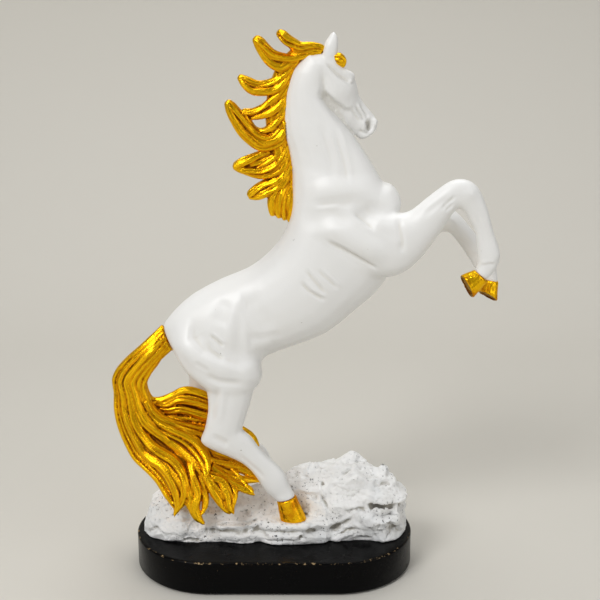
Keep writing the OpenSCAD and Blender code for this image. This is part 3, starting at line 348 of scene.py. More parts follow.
# Ledges, crevices and pits of the rock, worked as the muscles are
ROCK_LEDGES = (
    (2, 10, 1.7, 0, ((25.5, 58), (35, 66), (44.3, 61.4), (50.2, 59.2), (56.8, 57.9))),
    (2, 9, 2.4, 0, ((59, 57.5), (64.2, 61), (68.9, 56.1))),
    (-1, 8, 2.6, 1, ((52.5, 41.2), (58.3, 42), (66.4, 41.1), (78.5, 38.9))),
    (2, 8, 4.2, 1, ((66.3, 40.5), (72.4, 38.6), (82, 38))),
    (2, 7, 1, 0, ((9.3, 60.4), (17.9, 56.2), (25.5, 58))),
    (2, 6, 1.2, 0, ((-71.3, 45.5),)),
    (-1, 4, 1.6, 0, ((12.2, 32.5), (17.3, 32.5), (20.7, 35.3))),
    (-1, 9, -8, -1, ((51.4, 41.1), (56, 41.9), (66.4, 41.1), (83.1, 39.2))),
    (-1, 2.8, -2, -1, ((40, 37.8), (43.4, 39.2), (47.9, 40.7), (54.8, 40.5))),
    (-1, 5.5, -3, -1, ((52.5, 28.5), (59.2, 31.9), (66.1, 32.6), (78, 20))),
    (-1, 4, 1.2, 1, ((52.5, 28.5), (59.2, 31.9), (66.1, 32.6), (78, 20))),
    (-1, 3.2, -2.2, -1, ((33.9, 22.5), (39.5, 27.1), (44.6, 28.9), (50.3, 27.9))),
    (-1, 2, 1.4, 0, ((32.7, 20), (40.1, 24.4), (46.9, 27.6))),
    (-1, 5.5, -5.4, -1, ((16.1, 29.5), (25.2, 30.1), (32.1, 28.6), (39, 30.9))),
    (-1, 4, -2.2, -1, ((33.8, 28.1), (39, 31.5), (45.7, 35.8))),
    (-1, 6, 1, 1, ((12.7, 29.5), (25.2, 30.1), (32.1, 28.6), (37.8, 30.7), (45.7, 35.8))),
    (-1, 4.2, -2.8, -1, ((-13.4, 27.4), (-2, 29.2), (8.2, 29.3), (19.5, 29.7))),
    (-1, 5, -3.2, -1, ((-43.1, 27.7), (-32.8, 28.4), (-24.7, 29.3), (-15.7, 29.3), (-10.1, 30.9), (-3.3, 32.5))),
    (-1, 6, 1.2, 1, ((-43.1, 27.7), (-32.8, 28.4), (-24.7, 29.3), (-15.7, 29.3), (-10.1, 30.9), (-3.3, 32.5))),
    (-1, 2.4, -2.2, -1, ((-65.3, 20), (-47.6, 22.2), (-36.3, 21.3), (-16.2, 22.4))),
    (-1, 3.2, -2.4, 0, ((-12.3, 30), (-6, 24.9), (-3.2, 22.3))),
    (-1, 3.2, -3, 0, ((43.5, 20), (50.4, 21.3), (57.1, 20))),
    (-1, 2.2, -2.6, 0, ((15, 26.7), (16.7, 23))),
    (-1, 2.4, -2.2, -1, ((-9, 22.1), (3.7, 23.6), (15, 23.9))),
    (-1, 1.3, -1.1, 0, ((25.3, 47), (28.7, 41.5), (32.1, 36.6))),
    (-1, 1.7, -1.4, 0, ((26.5, 49.9), (28.8, 50.8))),
    (-1, 1.8, -1.5, 0, ((60.2, 51.1), (67.9, 50.8))),
    (-1, 1.8, -1.1, 0, ((57.4, 53.6), (62, 48.8))),
    (-1, 1.5, -1.1, 0, ((15.6, 52), (20.2, 53.1))),
    (-1, 5, -1.6, 1, ((39.5, 52.7), (47, 57.1), (54.4, 57))),
    (-1, 6, -1.2, -1, ((11.5, 44.3), (20.7, 45.7), (27.6, 45.1))),
    (-1, 4, -1.4, -1, ((-77.7, 20), (-67.5, 27.9), (-59.1, 24.6))),
)


# Properties

def facet(name, text, value):
    """Property for the size of a surface's facets, with its default in millimetres."""
    return FloatProperty(name=name, description=text, default=value * MM, unit="LENGTH")


def factor(name, text, value, low, high):
    """Property for a share or a strength, with its default and its range."""
    return FloatProperty(name=name, description=text, default=value, min=low, max=high, subtype="FACTOR")


def colour(name, text, value):
    """Property for a colour, with its default."""
    return FloatVectorProperty(name=name, description=text, subtype="COLOR", size=3, min=0, max=1, default=value)


class StatueSizes(bpy.types.PropertyGroup):
    """Sizes of the dressing that a user would change"""
    skin_grain: facet("Casting detail", "Size of the facets on the white castings", 0.63)
    hair_grain: facet("Mane detail", "Size of the facets on the mane and hooves", 0.4)
    tail_grain: facet("Tail detail", "Size of the facets on the tail", 0.49)
    rock_grain: facet("Rock detail", "Size of the facets on the rock", 0.55)
    muscle: factor("Muscle depth", "How deep the muscles and the face are modelled", 1.2, 0.0, 2.0)
    strands: IntProperty(name="Strands", description="Strands round each lock of hair", default=7, min=4, max=16)
    strand_share: factor("Strand thickness", "Share of a lock's thickness that a strand has", 0.31, 0.1, 0.6)
    strand_twist: FloatProperty(name="Twist", description="Turn of the strands along a lock",
                                default=math.radians(70), subtype="ANGLE")
    lock_width: factor("Lock width", "Width of a lock against its thickness", 1.1, 0.8, 2.0)
    crag: factor("Crags", "How far the rock's surface is broken up", 1.0, 0.0, 2.0)


class StatueColours(bpy.types.PropertyGroup):
    """Paint colours of the statue and of the stage"""
    white: colour("White", "Satin white paint of the horse", (0.84, 0.84, 0.83))
    # Painted shade: a warmer grey put into the white's hollows, where shade falls
    white_hollow_shade: colour("White in hollows", "The same paint where it lies thicker", (0.76, 0.745, 0.70))
    gold: colour("Gold", "Gold paint of hair and hooves", (1.0, 0.56, 0.006))
    # Painted shade: darker gold on the lower parts of the hair and hooves
    gold_low_shade: colour("Deep gold", "Gold paint where it is thinner", (0.80, 0.33, 0.002))
    # Painted shade: brown in the grooves of the gold; the same brown colours the fine hair lines and the hoof soles
    gold_groove_shade: colour("Gold grooves", "Brown left in the grooves", (0.15, 0.040, 0.001))
    hoof_stain: colour("Hoof stain", "Orange-brown stain on the gold hooves", (0.66, 0.22, 0.002))
    rock: colour("Rock", "White paint of the rock", (0.97, 0.97, 0.96))
    rock_wash: colour("Rock wash", "Blue-grey cloudy wash over the rock", (0.48, 0.56, 0.64))
    # Painted shade: warm grey in the rock's recesses under its ledges
    rock_recess_shade: colour("Rock recesses", "Warm grey under the rock's ledges", (0.40, 0.37, 0.31))
    # Dark of the rock's pits, also used as painted shade in its deepest hollows
    rock_pit_and_deep_shade: colour("Rock pits", "Dark pits in the rock", (0.05, 0.055, 0.06))
    black: colour("Black", "Satin black paint of the plinth", (0.0018, 0.0018, 0.002))
    worn: colour("Worn edge", "Ground that shows where the black is worn", (0.42, 0.30, 0.16))
    felt: colour("Felt", "Felt under the plinth", (0.03, 0.03, 0.033))
    steel: colour("Steel", "Dowels and screws inside", (0.58, 0.58, 0.60))
    backdrop: colour("Backdrop", "Plain pale floor and backdrop", (0.62, 0.60, 0.55))


# Surfaces as arrays

class Skin:
    """Closed surface of four-sided faces, in millimetres."""

    def __init__(self, points, faces):
        self.points = points
        self.faces = faces
        pairs = np.concatenate([faces[:, [k, (k + 1) % 4]] for k in range(4)])
        pairs.sort(axis=1)
        keys = np.unique(pairs[:, 0].astype(np.int64) * len(points) + pairs[:, 1])
        self.a = (keys // len(points)).astype(np.int64)
        self.b = (keys % len(points)).astype(np.int64)
        self.degree = self.gather(np.ones((len(points), 1)))

    def gather(self, field):
        """Sum of a field over each point's neighbours."""
        count = len(self.points)
        columns = [np.bincount(self.a, field[self.b, k], count) + np.bincount(self.b, field[self.a, k], count)
                   for k in range(field.shape[1])]
        return np.stack(columns, axis=1)

    def mean(self, field):
        """Mean of a field over each point's neighbours."""
        return self.gather(field) / self.degree

    def relax(self, passes, weight=0.5):
        """Smooths the surface, by one weight or by a weight for each point."""
        for _ in range(passes):
            self.points = self.points + weight * (self.mean(self.points) - self.points)

    def normals(self):
        """Outward direction at each point."""
        corners = self.points[self.faces]
        across = np.cross(corners[:, 2] - corners[:, 0], corners[:, 3] - corners[:, 1])
        total = np.zeros_like(self.points)
        for k in range(3):
            for c in range(4):
                total[:, k] += np.bincount(self.faces[:, c], across[:, k], len(self.points))
        return total / np.maximum(np.linalg.norm(total, axis=1, keepdims=True), TINY)

    def hollows(self, passes):
        """How far each point lies below the smoothed surface, in millimetres."""
        kept = self.points
        self.relax(passes)
        depth = np.einsum("ij,ij->i", self.points - kept, self.normals())
        self.points = kept
        return depth

    def push(self, field):
        """Moves each point outwards."""
        self.points = self.points + self.normals() * field[:, None]

    def keep_largest(self):
        """The largest connected shell alone."""
        label = np.arange(len(self.points))
        while True:
            low = np.minimum(label[self.a], label[self.b])
            fresh = label.copy()
            np.minimum.at(fresh, self.a, low)
            np.minimum.at(fresh, self.b, low)
            fresh = fresh[fresh]
            if (fresh == label).all():
                break
            label = fresh
        names, counts = np.unique(label, return_counts=True)
        keep = label == names[counts.argmax()]
        place = np.cumsum(keep) - 1
        return Skin(self.points[keep], place[self.faces[keep[self.faces[:, 0]]]])


def solid_copy(names):
    """One mesh in millimetres with merged copies of CAD nodes."""
    whole = bmesh.new()
    for name in names:
        part = bmesh.new()
        part.from_mesh(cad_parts[name].data)
        bmesh.ops.remove_doubles(part, verts=part.verts, dist=1e-7)
        bmesh.ops.scale(part, vec=(1 / MM,) * 3, verts=part.verts)
        mesh = bpy.data.meshes.new("copy")
        part.to_mesh(mesh)
        part.free()
        whole.from_mesh(mesh)
        bpy.data.meshes.remove(mesh)
    mesh = bpy.data.meshes.new("copies")
    whole.to_mesh(mesh)
    whole.free()
    return mesh


def fused(mesh, grain):
    """Skin round all the closed shells of a mesh that is in millimetres. The mesh is used up."""
    holder = bpy.data.objects.new("fused", mesh)
    bpy.context.scene.collection.objects.link(holder)
    remesh = holder.modifiers.new("fuse", "REMESH")
    remesh.mode = "VOXEL"
    remesh.voxel_size = grain / MM
    remesh.adaptivity = 0
    result = bpy.data.meshes.new_from_object(holder.evaluated_get(bpy.context.evaluated_depsgraph_get()))
    points = np.empty(len(result.vertices) * 3)
    result.vertices.foreach_get("co", points)
    corners = np.empty(len(result.loops), np.int32)
    result.loops.foreach_get("vertex_index", corners)
    bpy.data.objects.remove(holder)
    bpy.data.meshes.remove(mesh)
    bpy.data.meshes.remove(result)
    return Skin(points.reshape(-1, 3), corners.reshape(-1, 4).astype(np.int64)).keep_largest()


def smooth_step(low, high, value):
    """0 below low, 1 above high, and a smooth rise between."""
    t = np.clip((value - low) / (high - low), 0, 1)
    return t * t * (3 - 2 * t)


def path_distance(x, z, path):
    """Distance to a path in side view, the signed distance to the left of it, and the share along it."""
    if len(path) == 1:
        away = np.hypot(x - path[0][0], z - path[0][1])
        return away, away, np.full(len(x), 0.5)
    best = np.full(len(x), np.inf)
    left = np.zeros(len(x))
    along = np.zeros(len(x))
    done = 0
    for (ax, az), (bx, bz) in zip(path, path[1:]):
        dx, dz = bx - ax, bz - az
        run = math.hypot(dx, dz)
        t = np.clip(((x - ax) * dx + (z - az) * dz) / run ** 2, 0, 1)
        away = np.hypot(x - ax - t * dx, z - az - t * dz)
        nearer = away < best
        best = np.where(nearer, away, best)
        left = np.where(nearer, (dx * (z - az) - dz * (x - ax)) / run, left)
        along = np.where(nearer, done + t * run, along)
        done += run
    return best, left, along / done


# Side of a stroke that goes all round, blur of an edge against its reach, shares of a path that fade in and out,
# and how squarely a face has to look to a stroke's side
ALL_ROUND = 2
EDGE_BLUR = 0.2
TAPER = 0.3
SIDE_FADE = (0.05, 0.45)


def carve(skin, x, strokes, strength, drift=0.0):
    """Works strokes of the modelling tool into a skin, with x as given and z shifted by the drift."""
    z = skin.points[:, 2] + drift
    facing = skin.normals()[:, 1]
    depth_all = np.zeros(len(z))
    for side, reach, depth, edge, path in strokes:
        path_x = [p[0] for p in path]
        path_z = [p[1] for p in path]
        near = np.flatnonzero((x > min(path_x) - reach) & (x < max(path_x) + reach)
                              & (z > min(path_z) - reach) & (z < max(path_z) + reach))
        away, left, along = path_distance(x[near], z[near], path)
        share = np.clip(1 - (away / reach) ** 2, 0, 1) ** 2
        share *= smooth_step(0, TAPER, along) * smooth_step(1, 1 - TAPER, along)
        if edge:
            share *= smooth_step(-EDGE_BLUR * reach, EDGE_BLUR * reach, edge * left)
        if side != ALL_ROUND:
            share *= smooth_step(*SIDE_FADE, np.abs(facing[near]) if side == 0 else side * facing[near])
        depth_all[near] += depth * strength * share
    skin.push(depth_all)


CURVE_STEP = 1.2


def in_row(points):
    """Smooth row of points through chosen ones, about a step apart."""
    rows = np.array(points, float)
    padded = np.vstack([2 * rows[0] - rows[1], rows, 2 * rows[-1] - rows[-2]])
    found = []
    for i in range(len(rows) - 1):
        a, b, c, d = padded[i:i + 4]
        count = max(2, int(np.linalg.norm((c - b)[:3]) / CURVE_STEP))
        for k in range(count):
            t = k / count
            found.append(b + 0.5 * t * (c - a + t * (2 * a - 5 * b + 4 * c - d + t * (3 * (b - c) + d - a))))
    found.append(rows[-1])
    return np.array(found)


# Pieces

def add_piece(name, points, faces, material, node):
    """New mesh piece from millimetres that rides on the body and stands for a CAD node."""
    mesh = bpy.data.meshes.new(name)
    mesh.from_pydata((np.asarray(points) * MM).tolist(), [], [list(f) for f in faces])
    mesh.shade_smooth()
    return dress(mesh, material, node)


def dress(mesh, material, node):
    """Object for a finished mesh, of its name, that rides on the body and stands for a CAD node."""
    mesh.materials.append(material)
    piece = bpy.data.objects.new(mesh.name, mesh)
    bpy.context.scene.collection.objects.link(piece)
    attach(piece, BODY)
    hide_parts(node)
    return piece


def store(piece, name, values):
    """Attribute on a piece's points, of numbers or of vectors."""
    values = np.asarray(values, np.float32)
    vector = values.ndim == 2
    layer = piece.data.attributes.new(name, "FLOAT_VECTOR" if vector else "FLOAT", "POINT")
    layer.data.foreach_set("vector" if vector else "value", values.ravel())


# Materials

class Paint:
    """Procedural material that is put together from nodes."""

    def __init__(self, name):
        self.material = bpy.data.materials.new(name)
        self.material.use_nodes = True
        self.tree = self.material.node_tree
        self.shader = self.tree.nodes["Principled BSDF"]
        self.coords = self.tree.nodes.new("ShaderNodeTexCoord").outputs["Object"]

    def node(self, kind, **sockets):
        """New node with values or links for its sockets, whose names are written with underscores."""
        made = self.tree.nodes.new("ShaderNode" + kind)
        for name, value in sockets.items():
            self.put(made.inputs[name.replace("_", " ")], value)
        return made

    def put(self, socket, value):
        """Gives a socket a value or a link."""
        if isinstance(value, bpy.types.NodeSocket):
            self.tree.links.new(value, socket)
        else:
            socket.default_value = value

    def noise(self, scale, detail=4.0, roughness=0.55, vector=None):
        """Noise from 0 to 1 over the piece, or over another vector."""
        made = self.node("TexNoise", Vector=vector or self.coords, Scale=scale, Detail=detail, Roughness=roughness)
        return made.outputs["Fac"]

    def fade(self, value, low, high, to_low=0.0, to_high=1.0, kind="LINEAR"):
        """A range of a value turned into another range, held at its ends."""
        made = self.node("MapRange", Value=value, From_Min=low, From_Max=high, To_Min=to_low, To_Max=to_high)
        made.interpolation_type = kind
        return made.outputs["Result"]

    def ramp(self, value, low, high):
        """Smooth rise from 0 to 1 over a range of a value."""
        return self.fade(value, low, high, kind="SMOOTHSTEP")

    def maths(self, kind, a, b):
        """One step of arithmetic."""
        made = self.node("Math")
        made.operation = kind
        self.put(made.inputs[0], a)
        self.put(made.inputs[1], b)
        return made.outputs[0]

    def mix(self, share, a, b):
        """Colour a with a share of colour b."""
        made = self.node("Mix")
        made.data_type = "RGBA"
        self.put(made.inputs["Factor"], share)
        for socket, value in ((made.inputs[6], a), (made.inputs[7], b)):
            self.put(socket, value if isinstance(value, bpy.types.NodeSocket) else (*value, 1.0))
        return made.outputs[2]

    def attribute(self, name, vector=False):
        """Numbers or vectors that are stored on the piece's points."""
        made = self.node("Attribute")
        made.attribute_name = name
        return made.outputs["Vector" if vector else "Fac"]

    def bump(self, height, strength, distance):
        """Fine relief of a height."""
        made = self.node("Bump", Height=height, Strength=strength, Distance=distance)
        self.put(self.shader.inputs["Normal"], made.outputs["Normal"])

    def set(self, **sockets):
        """The finished material, with values or links for the shader's sockets."""
        for name, value in sockets.items():
            self.put(self.shader.inputs[name.replace("_", " ")], value)
        return self.material


def white_paint(tint):
    """Satin white paint with painted warm shade in the hollows, and small flaws."""
    p = Paint("satin_white_paint")
    # Painted shade: the hollows turn warm grey, with a random cloudy tone over all
    hollow = p.ramp(p.attribute("hollow"), 0.02, 0.5)
    cloud = p.noise(45.0, 3.0)
    share = p.maths("ADD", p.maths("MULTIPLY", hollow, 0.75), p.fade(cloud, 0.35, 0.75, 0.0, 0.16))
    flaw = p.ramp(p.noise(700.0, 1.0), 0.80, 0.83)
    base = p.mix(flaw, p.mix(share, tint.white, tint.white_hollow_shade), (0.45, 0.43, 0.40))
    grain = p.noise(1400.0, 3.0)
    p.bump(p.maths("ADD", grain, p.maths("MULTIPLY", p.noise(260.0, 2.0), 1.4)), 0.10, 0.00035)
    return p.set(Base_Color=base, Roughness=p.fade(cloud, 0.3, 0.7, 0.34, 0.46), Specular_IOR_Level=0.5)


def gold_paint(name, tint, flow):
    """Gold paint with painted shade, bright on ridges, darker in the lows and brown in the grooves, with lines that
    follow the hair or stains and brown soles on the hooves.
    """
    p = Paint(name)
    cloud = p.noise(60.0, 3.0)
    hollow = p.attribute("hollow")
    # Painted shade: brown where the surface lies below its smoothed form
    groove = p.ramp(hollow, 0.04, 0.32)
    light = tint.gold
    if flow:
        lines = p.noise(1.9, 3.0, 0.6, p.attribute("flow", True))
        # Painted shade: the lows of the hair turn darker gold, broken up by a random cloud below
        low_shade = p.ramp(hollow, -0.14, 0.10)
        groove = p.maths("ADD", groove, p.fade(lines, 0.48, 0.68, 0.0, 0.65))
        p.bump(p.maths("MULTIPLY", lines, -1.0), 0.45, 0.0005)
    else:
        # Painted shade: the lows of the hooves turn darker gold, broken up by a random cloud below
        low_shade = p.ramp(hollow, 0.0, 0.3)
        light = p.mix(p.fade(p.noise(150.0, 4.0), 0.42, 0.60, 0.0, 0.9), tint.gold, tint.hoof_stain)
        groove = p.maths("ADD", groove, p.attribute("sole"))
        p.bump(p.noise(300.0, 3.0), 0.15, 0.0006)
    low_shade = p.maths("ADD", low_shade, p.fade(cloud, 0.3, 0.7, -0.2, 0.2))
    # Painted shade: darker gold in the lows and brown in the grooves
    base = p.mix(p.ramp(groove, 0.05, 0.95), p.mix(low_shade, light, tint.gold_low_shade), tint.gold_groove_shade)
    return p.set(Base_Color=base, Metallic=0.8, Roughness=p.fade(cloud, 0.3, 0.7, 0.17, 0.29),
                 Specular_Tint=(1.0, 0.8, 0.35, 1.0))


def rock_paint(tint):
    """Rough white paint with a blue-grey wash, painted warm grey shade in the recesses, painted dark shade in the
    deepest hollows, small dark pits and a plaster grain.
    """
    p = Paint("rough_rock_paint")
    hollow = p.attribute("hollow")
    base = p.mix(p.fade(p.noise(32.0, 5.0, 0.65), 0.48, 0.70, 0.0, 0.26), tint.rock, tint.rock_wash)
    # Painted shade: the recesses turn warm grey
    base = p.mix(p.fade(hollow, 0.3, 1.4, 0.0, 0.85), base, tint.rock_recess_shade)
    pits = p.ramp(p.noise(640.0, 2.0, 0.7), 0.62, 0.68)
    clusters = p.ramp(p.noise(55.0, 3.0), 0.40, 0.62)
    # Dark of the real pits, plus painted dark shade in the deepest hollows
    dark = p.maths("ADD", p.maths("MULTIPLY", pits, clusters), p.fade(hollow, 1.6, 3.0, 0.0, 0.3))
    base = p.mix(dark, base, tint.rock_pit_and_deep_shade)
    grain = p.maths("ADD", p.noise(520.0, 6.0, 0.75), p.maths("MULTIPLY", pits, -0.6))
    p.bump(grain, 0.8, 0.0014)
    return p.set(Base_Color=base, Roughness=0.82)


def black_paint(tint):
    """Satin black paint, worn to pale specks along the top edge."""
    p = Paint("satin_black_paint")
    edge = p.ramp(p.attribute("edge"), 0.45, 1.0)
    wear = p.ramp(p.noise(460.0, 5.0, 0.7), 0.55, 0.68)
    speck = p.ramp(p.noise(420.0, 1.0), 0.80, 0.82)
    share = p.maths("ADD", p.maths("MULTIPLY", edge, wear), p.maths("MULTIPLY", speck, 0.5))
    base = p.mix(share, tint.black, tint.worn)
    cloud = p.noise(38.0, 4.0)
    p.bump(p.maths("ADD", p.noise(140.0, 3.0), p.maths("MULTIPLY", p.noise(900.0, 2.0), 0.3)), 0.18, 0.0008)
    return p.set(Base_Color=base, Roughness=p.fade(cloud, 0.3, 0.7, 0.18, 0.32), Specular_IOR_Level=0.07)


def felt_cloth(tint):
    """Dark pressed felt."""
    p = Paint("dark_felt")
    fibre = p.noise(1800.0, 6.0, 0.75)
    base = p.mix(p.ramp(fibre, 0.3, 0.75), tint.felt, (0.08, 0.08, 0.085))
    p.bump(fibre, 0.7, 0.0005)
    return p.set(Base_Color=base, Roughness=0.95, Sheen_Weight=0.4)


def drawn_steel(tint):
    """Bright drawn steel."""
    p = Paint("drawn_steel")
    lines = p.noise(700.0, 3.0)
    p.bump(lines, 0.2, 0.0002)
    base = p.mix(lines, tint.steel, (0.46, 0.46, 0.48))
    return p.set(Base_Color=base, Metallic=1.0, Roughness=p.fade(lines, 0.3, 0.7, 0.25, 0.42))


def backdrop_paint(tint):
    """Plain pale matt paper, a little cloudy."""
    p = Paint("plain_backdrop")
    base = p.mix(p.noise(3.0, 2.0), tint.backdrop, [c * 0.97 for c in tint.backdrop])
    return p.set(Base_Color=base, Roughness=0.9)


# Hair

# A strand's chance number starts with its lock's phase times this, shifts its place by a share of the gap to the next
# strand, and sets its thickness, from the least share to the least with the spread
CHANCE_START = 7.3
PLACE_SPREAD = 0.5
THICK_LEAST = 0.78
THICK_SPREAD = 0.5


def strand_tree():
    """Node tree that lays strands round guide curves and sweeps them into tubes."""
    tree = bpy.data.node_groups.new("lock_strands", "GeometryNodeTree")
    face = tree.interface
    face.new_socket("Geometry", in_out="INPUT", socket_type="NodeSocketGeometry")
    for name, kind in (("Strands", "Int"), ("Strand share", "Float"), ("Twist", "Float"), ("Width", "Float"),
                       ("Core share", "Float"), ("Sides", "Int"), ("Material", "Material")):
        face.new_socket(name, in_out="INPUT", socket_type="NodeSocket" + kind)
    face.new_socket("Geometry", in_out="OUTPUT", socket_type="NodeSocketGeometry")
    nodes, links = tree.nodes, tree.links
    given = nodes.new("NodeGroupInput").outputs

    def node(kind, *values, **settings):
        made = nodes.new(kind)
        for key, value in settings.items():
            setattr(made, key, value)
        for socket, value in zip(made.inputs, values):
            if isinstance(value, bpy.types.NodeSocket):
                links.new(value, socket)
            elif value is not None:
                socket.default_value = value
        return made

    def maths(kind, a, b):
        return node("ShaderNodeMath", a, b, operation=kind).outputs[0]

    def vectors(kind, a, b):
        return node("ShaderNodeVectorMath", a, b, operation=kind).outputs[0]

    def scaled(vector, by):
        made = node("ShaderNodeVectorMath", vector, operation="SCALE")
        links.new(by, made.inputs["Scale"])
        return made.outputs[0]

    radius = node("GeometryNodeInputRadius").outputs[0]
    copies = node("GeometryNodeDuplicateElements", given["Geometry"], True, given["Strands"], domain="SPLINE")
    number = copies.outputs["Duplicate Index"]
    phase = node("GeometryNodeInputNamedAttribute", "tilt", data_type="FLOAT").outputs[0]
    chance = node("ShaderNodeTexWhiteNoise", noise_dimensions="1D")
    links.new(maths("ADD", number, maths("MULTIPLY", phase, CHANCE_START)), chance.inputs["W"])
    place = maths("ADD", number, maths("MULTIPLY", chance.outputs["Value"], PLACE_SPREAD))
    share = maths("DIVIDE", place, given["Strands"])
    along = node("GeometryNodeSplineParameter").outputs["Factor"]
    turn = maths("MULTIPLY", share, math.tau)
    turn = maths("ADD", maths("ADD", turn, phase), maths("MULTIPLY", along, given["Twist"]))
    tangent = node("GeometryNodeInputTangent").outputs[0]
    side = vectors("NORMALIZE", vectors("CROSS_PRODUCT", tangent, (0, 1, 0)), None)
    across = maths("MULTIPLY", maths("SINE", turn, None), given["Width"])
    way = vectors("ADD", scaled(side, maths("COSINE", turn, None)),
                  node("ShaderNodeCombineXYZ", None, across).outputs[0])
    thick = maths("ADD", maths("MULTIPLY", chance.outputs["Value"], THICK_SPREAD), THICK_LEAST)
    varied = maths("MULTIPLY", given["Strand share"], thick)
    out = maths("MULTIPLY", radius, maths("SUBTRACT", 1.0, varied))
    moved = node("GeometryNodeSetPosition", copies.outputs["Geometry"], True, None, scaled(way, out))
    ring = node("GeometryNodeCurvePrimitiveCircle", given["Sides"])
    ring.inputs["Radius"].default_value = 1.0
    both = node("GeometryNodeJoinGeometry")
    for guide, part in ((given["Geometry"], given["Core share"]), (moved.outputs[0], varied)):
        tube = node("GeometryNodeCurveToMesh", guide, ring.outputs[0], maths("MULTIPLY", radius, part), True)
        links.new(tube.outputs[0], both.inputs[0])
    real = node("GeometryNodeRealizeInstances", both.outputs[0])
    painted = node("GeometryNodeSetMaterial", real.outputs[0], True, given["Material"])
    links.new(painted.outputs[0], nodes.new("NodeGroupOutput").inputs[0])
    return tree


def set_input(modifier, name, value):
    """Sets a node modifier's input by the identifier of its socket."""
    for item in modifier.node_group.interface.items_tree:
        if item.item_type == "SOCKET" and item.in_out == "INPUT" and item.name == name:
            modifier[item.identifier] = value
            return
    raise RuntimeError("the strand tree has no input named " + name)


# Gap from the middle plane to a lock's middle: a length, and a share of its half thickness
LOCK_GAP = 0.8
LOCK_GAP_SHARE = 0.9


def two_sided(locks):
    """Each lock of a side view twice, on the near and on the far side of the middle plane."""
    return [[(x, side * (LOCK_GAP + LOCK_GAP_SHARE * half), z, half) for x, z, half in lock]
            for side in (-1, 1) for lock in locks]


def near_and_far(locks):
    """Each lock of the tail twice, on the near side and on the far side."""
    return [[(point[0], point[side], *point[3:]) for point in lock] for side in (1, 2) for lock in locks]


# Points of a round tip: how far on, and how thick, in shares of the half thickness
ROUND_TIP = ((0.5, 0.87), (0.8, 0.6), (1.0, 0.2))


def round_tip(row):
    """A lock's row of points with a round end."""
    *end, half = row[-1]
    way = np.array(end) - np.array(row[-2][:3])
    way /= np.linalg.norm(way)
    return list(row) + [(*(np.array(end) + way * half * go), half * thick) for go, thick in ROUND_TIP]


# Turn from one lock's strands to the next one's, thickness of a lock's core against the lock, and sides of a strand
LOCK_PHASE = 1.7
CORE_SHARE = 0.58
STRAND_SIDES = 8


def hair_mesh(locks, sizes, material):
    """Mesh of all the strands of some locks, in millimetres, and the rows that the locks follow."""
    rows = [in_row(round_tip(path)) for path in locks]
    curve = bpy.data.curves.new("guides", "CURVE")
    curve.dimensions = "3D"
    for index, row in enumerate(rows):
        spline = curve.splines.new("POLY")
        spline.points.add(len(row) - 1)
        for point, (x, y, z, half) in zip(spline.points, row):
            point.co = (x, y, z, 1)
            point.radius = half
            point.tilt = index * LOCK_PHASE
    holder = bpy.data.objects.new("guides", curve)
    bpy.context.scene.collection.objects.link(holder)
    modifier = holder.modifiers.new("strands", "NODES")
    modifier.node_group = bpy.data.node_groups.get("lock_strands") or strand_tree()
    for name, value in (("Strands", sizes.strands), ("Strand share", sizes.strand_share),
                        ("Twist", sizes.strand_twist), ("Width", sizes.lock_width), ("Core share", CORE_SHARE),
                        ("Sides", STRAND_SIDES), ("Material", material)):
        set_input(modifier, name, value)
    mesh = bpy.data.meshes.new_from_object(holder.evaluated_get(bpy.context.evaluated_depsgraph_get()))
    bpy.data.objects.remove(holder)
    bpy.data.curves.remove(curve)
    return mesh, rows


# Lines in the gold are stretched along the hair by this share of its length
FLOW_STRETCH = 0.07


def flow_along(points, rows):
    """For each point, how far along its lock it lies, and its place across the lock."""
    tree = KDTree(sum(len(row) for row in rows))
    ways, runs, places = [], [], []
    for row in rows:
        step = np.gradient(row[:, :3], axis=0)
        ways.append(step / np.linalg.norm(step, axis=1, keepdims=True))
        runs.append(np.concatenate([[0], np.cumsum(np.linalg.norm(np.diff(row[:, :3], axis=0), axis=1))]))
        places.append(row[:, :3])
    ways, runs, places = np.concatenate(ways), np.concatenate(runs), np.concatenate(places)
    for index, place in enumerate(places):
        tree.insert(place, index)
    tree.balance()
    found = np.array([tree.find(point)[1] for point in points])
    gap = points - places[found]
    way = ways[found]
    ahead = np.einsum("ij,ij->i", gap, way)
    side = np.cross(way, (0, 1, 0))
    side /= np.maximum(np.linalg.norm(side, axis=1, keepdims=True), TINY)
    along = (runs[found] + ahead) * FLOW_STRETCH
    return np.stack([along, gap[:, 1], np.einsum("ij,ij->i", gap, side)], axis=1)


def hair_core(node, inset, front):
    """The form of a CAD node a little drawn in, as far as a plane across its front."""
    core = bmesh.new()
    mesh = solid_copy((node,))
    core.from_mesh(mesh)
    bpy.data.meshes.remove(mesh)
    for vert in core.verts:
        vert.co -= vert.normal * inset
    bmesh.ops.bisect_plane(core, geom=core.verts[:] + core.edges[:] + core.faces[:], plane_co=(front, 0, 0),
                           plane_no=(1, 0, 0), clear_outer=True)
    bmesh.ops.holes_fill(core, edges=[e for e in core.edges if e.is_boundary], sides=0)
    return core


# Smoothing passes of the hair, and of the fine and the broad hollows in it, for facets of this size
HAIR_PASS_GRAIN = 0.36 * MM
HAIR_PASSES = 2
FINE_PASSES = 16
BROAD_PASSES = 70
BROAD_SHARE = 0.25


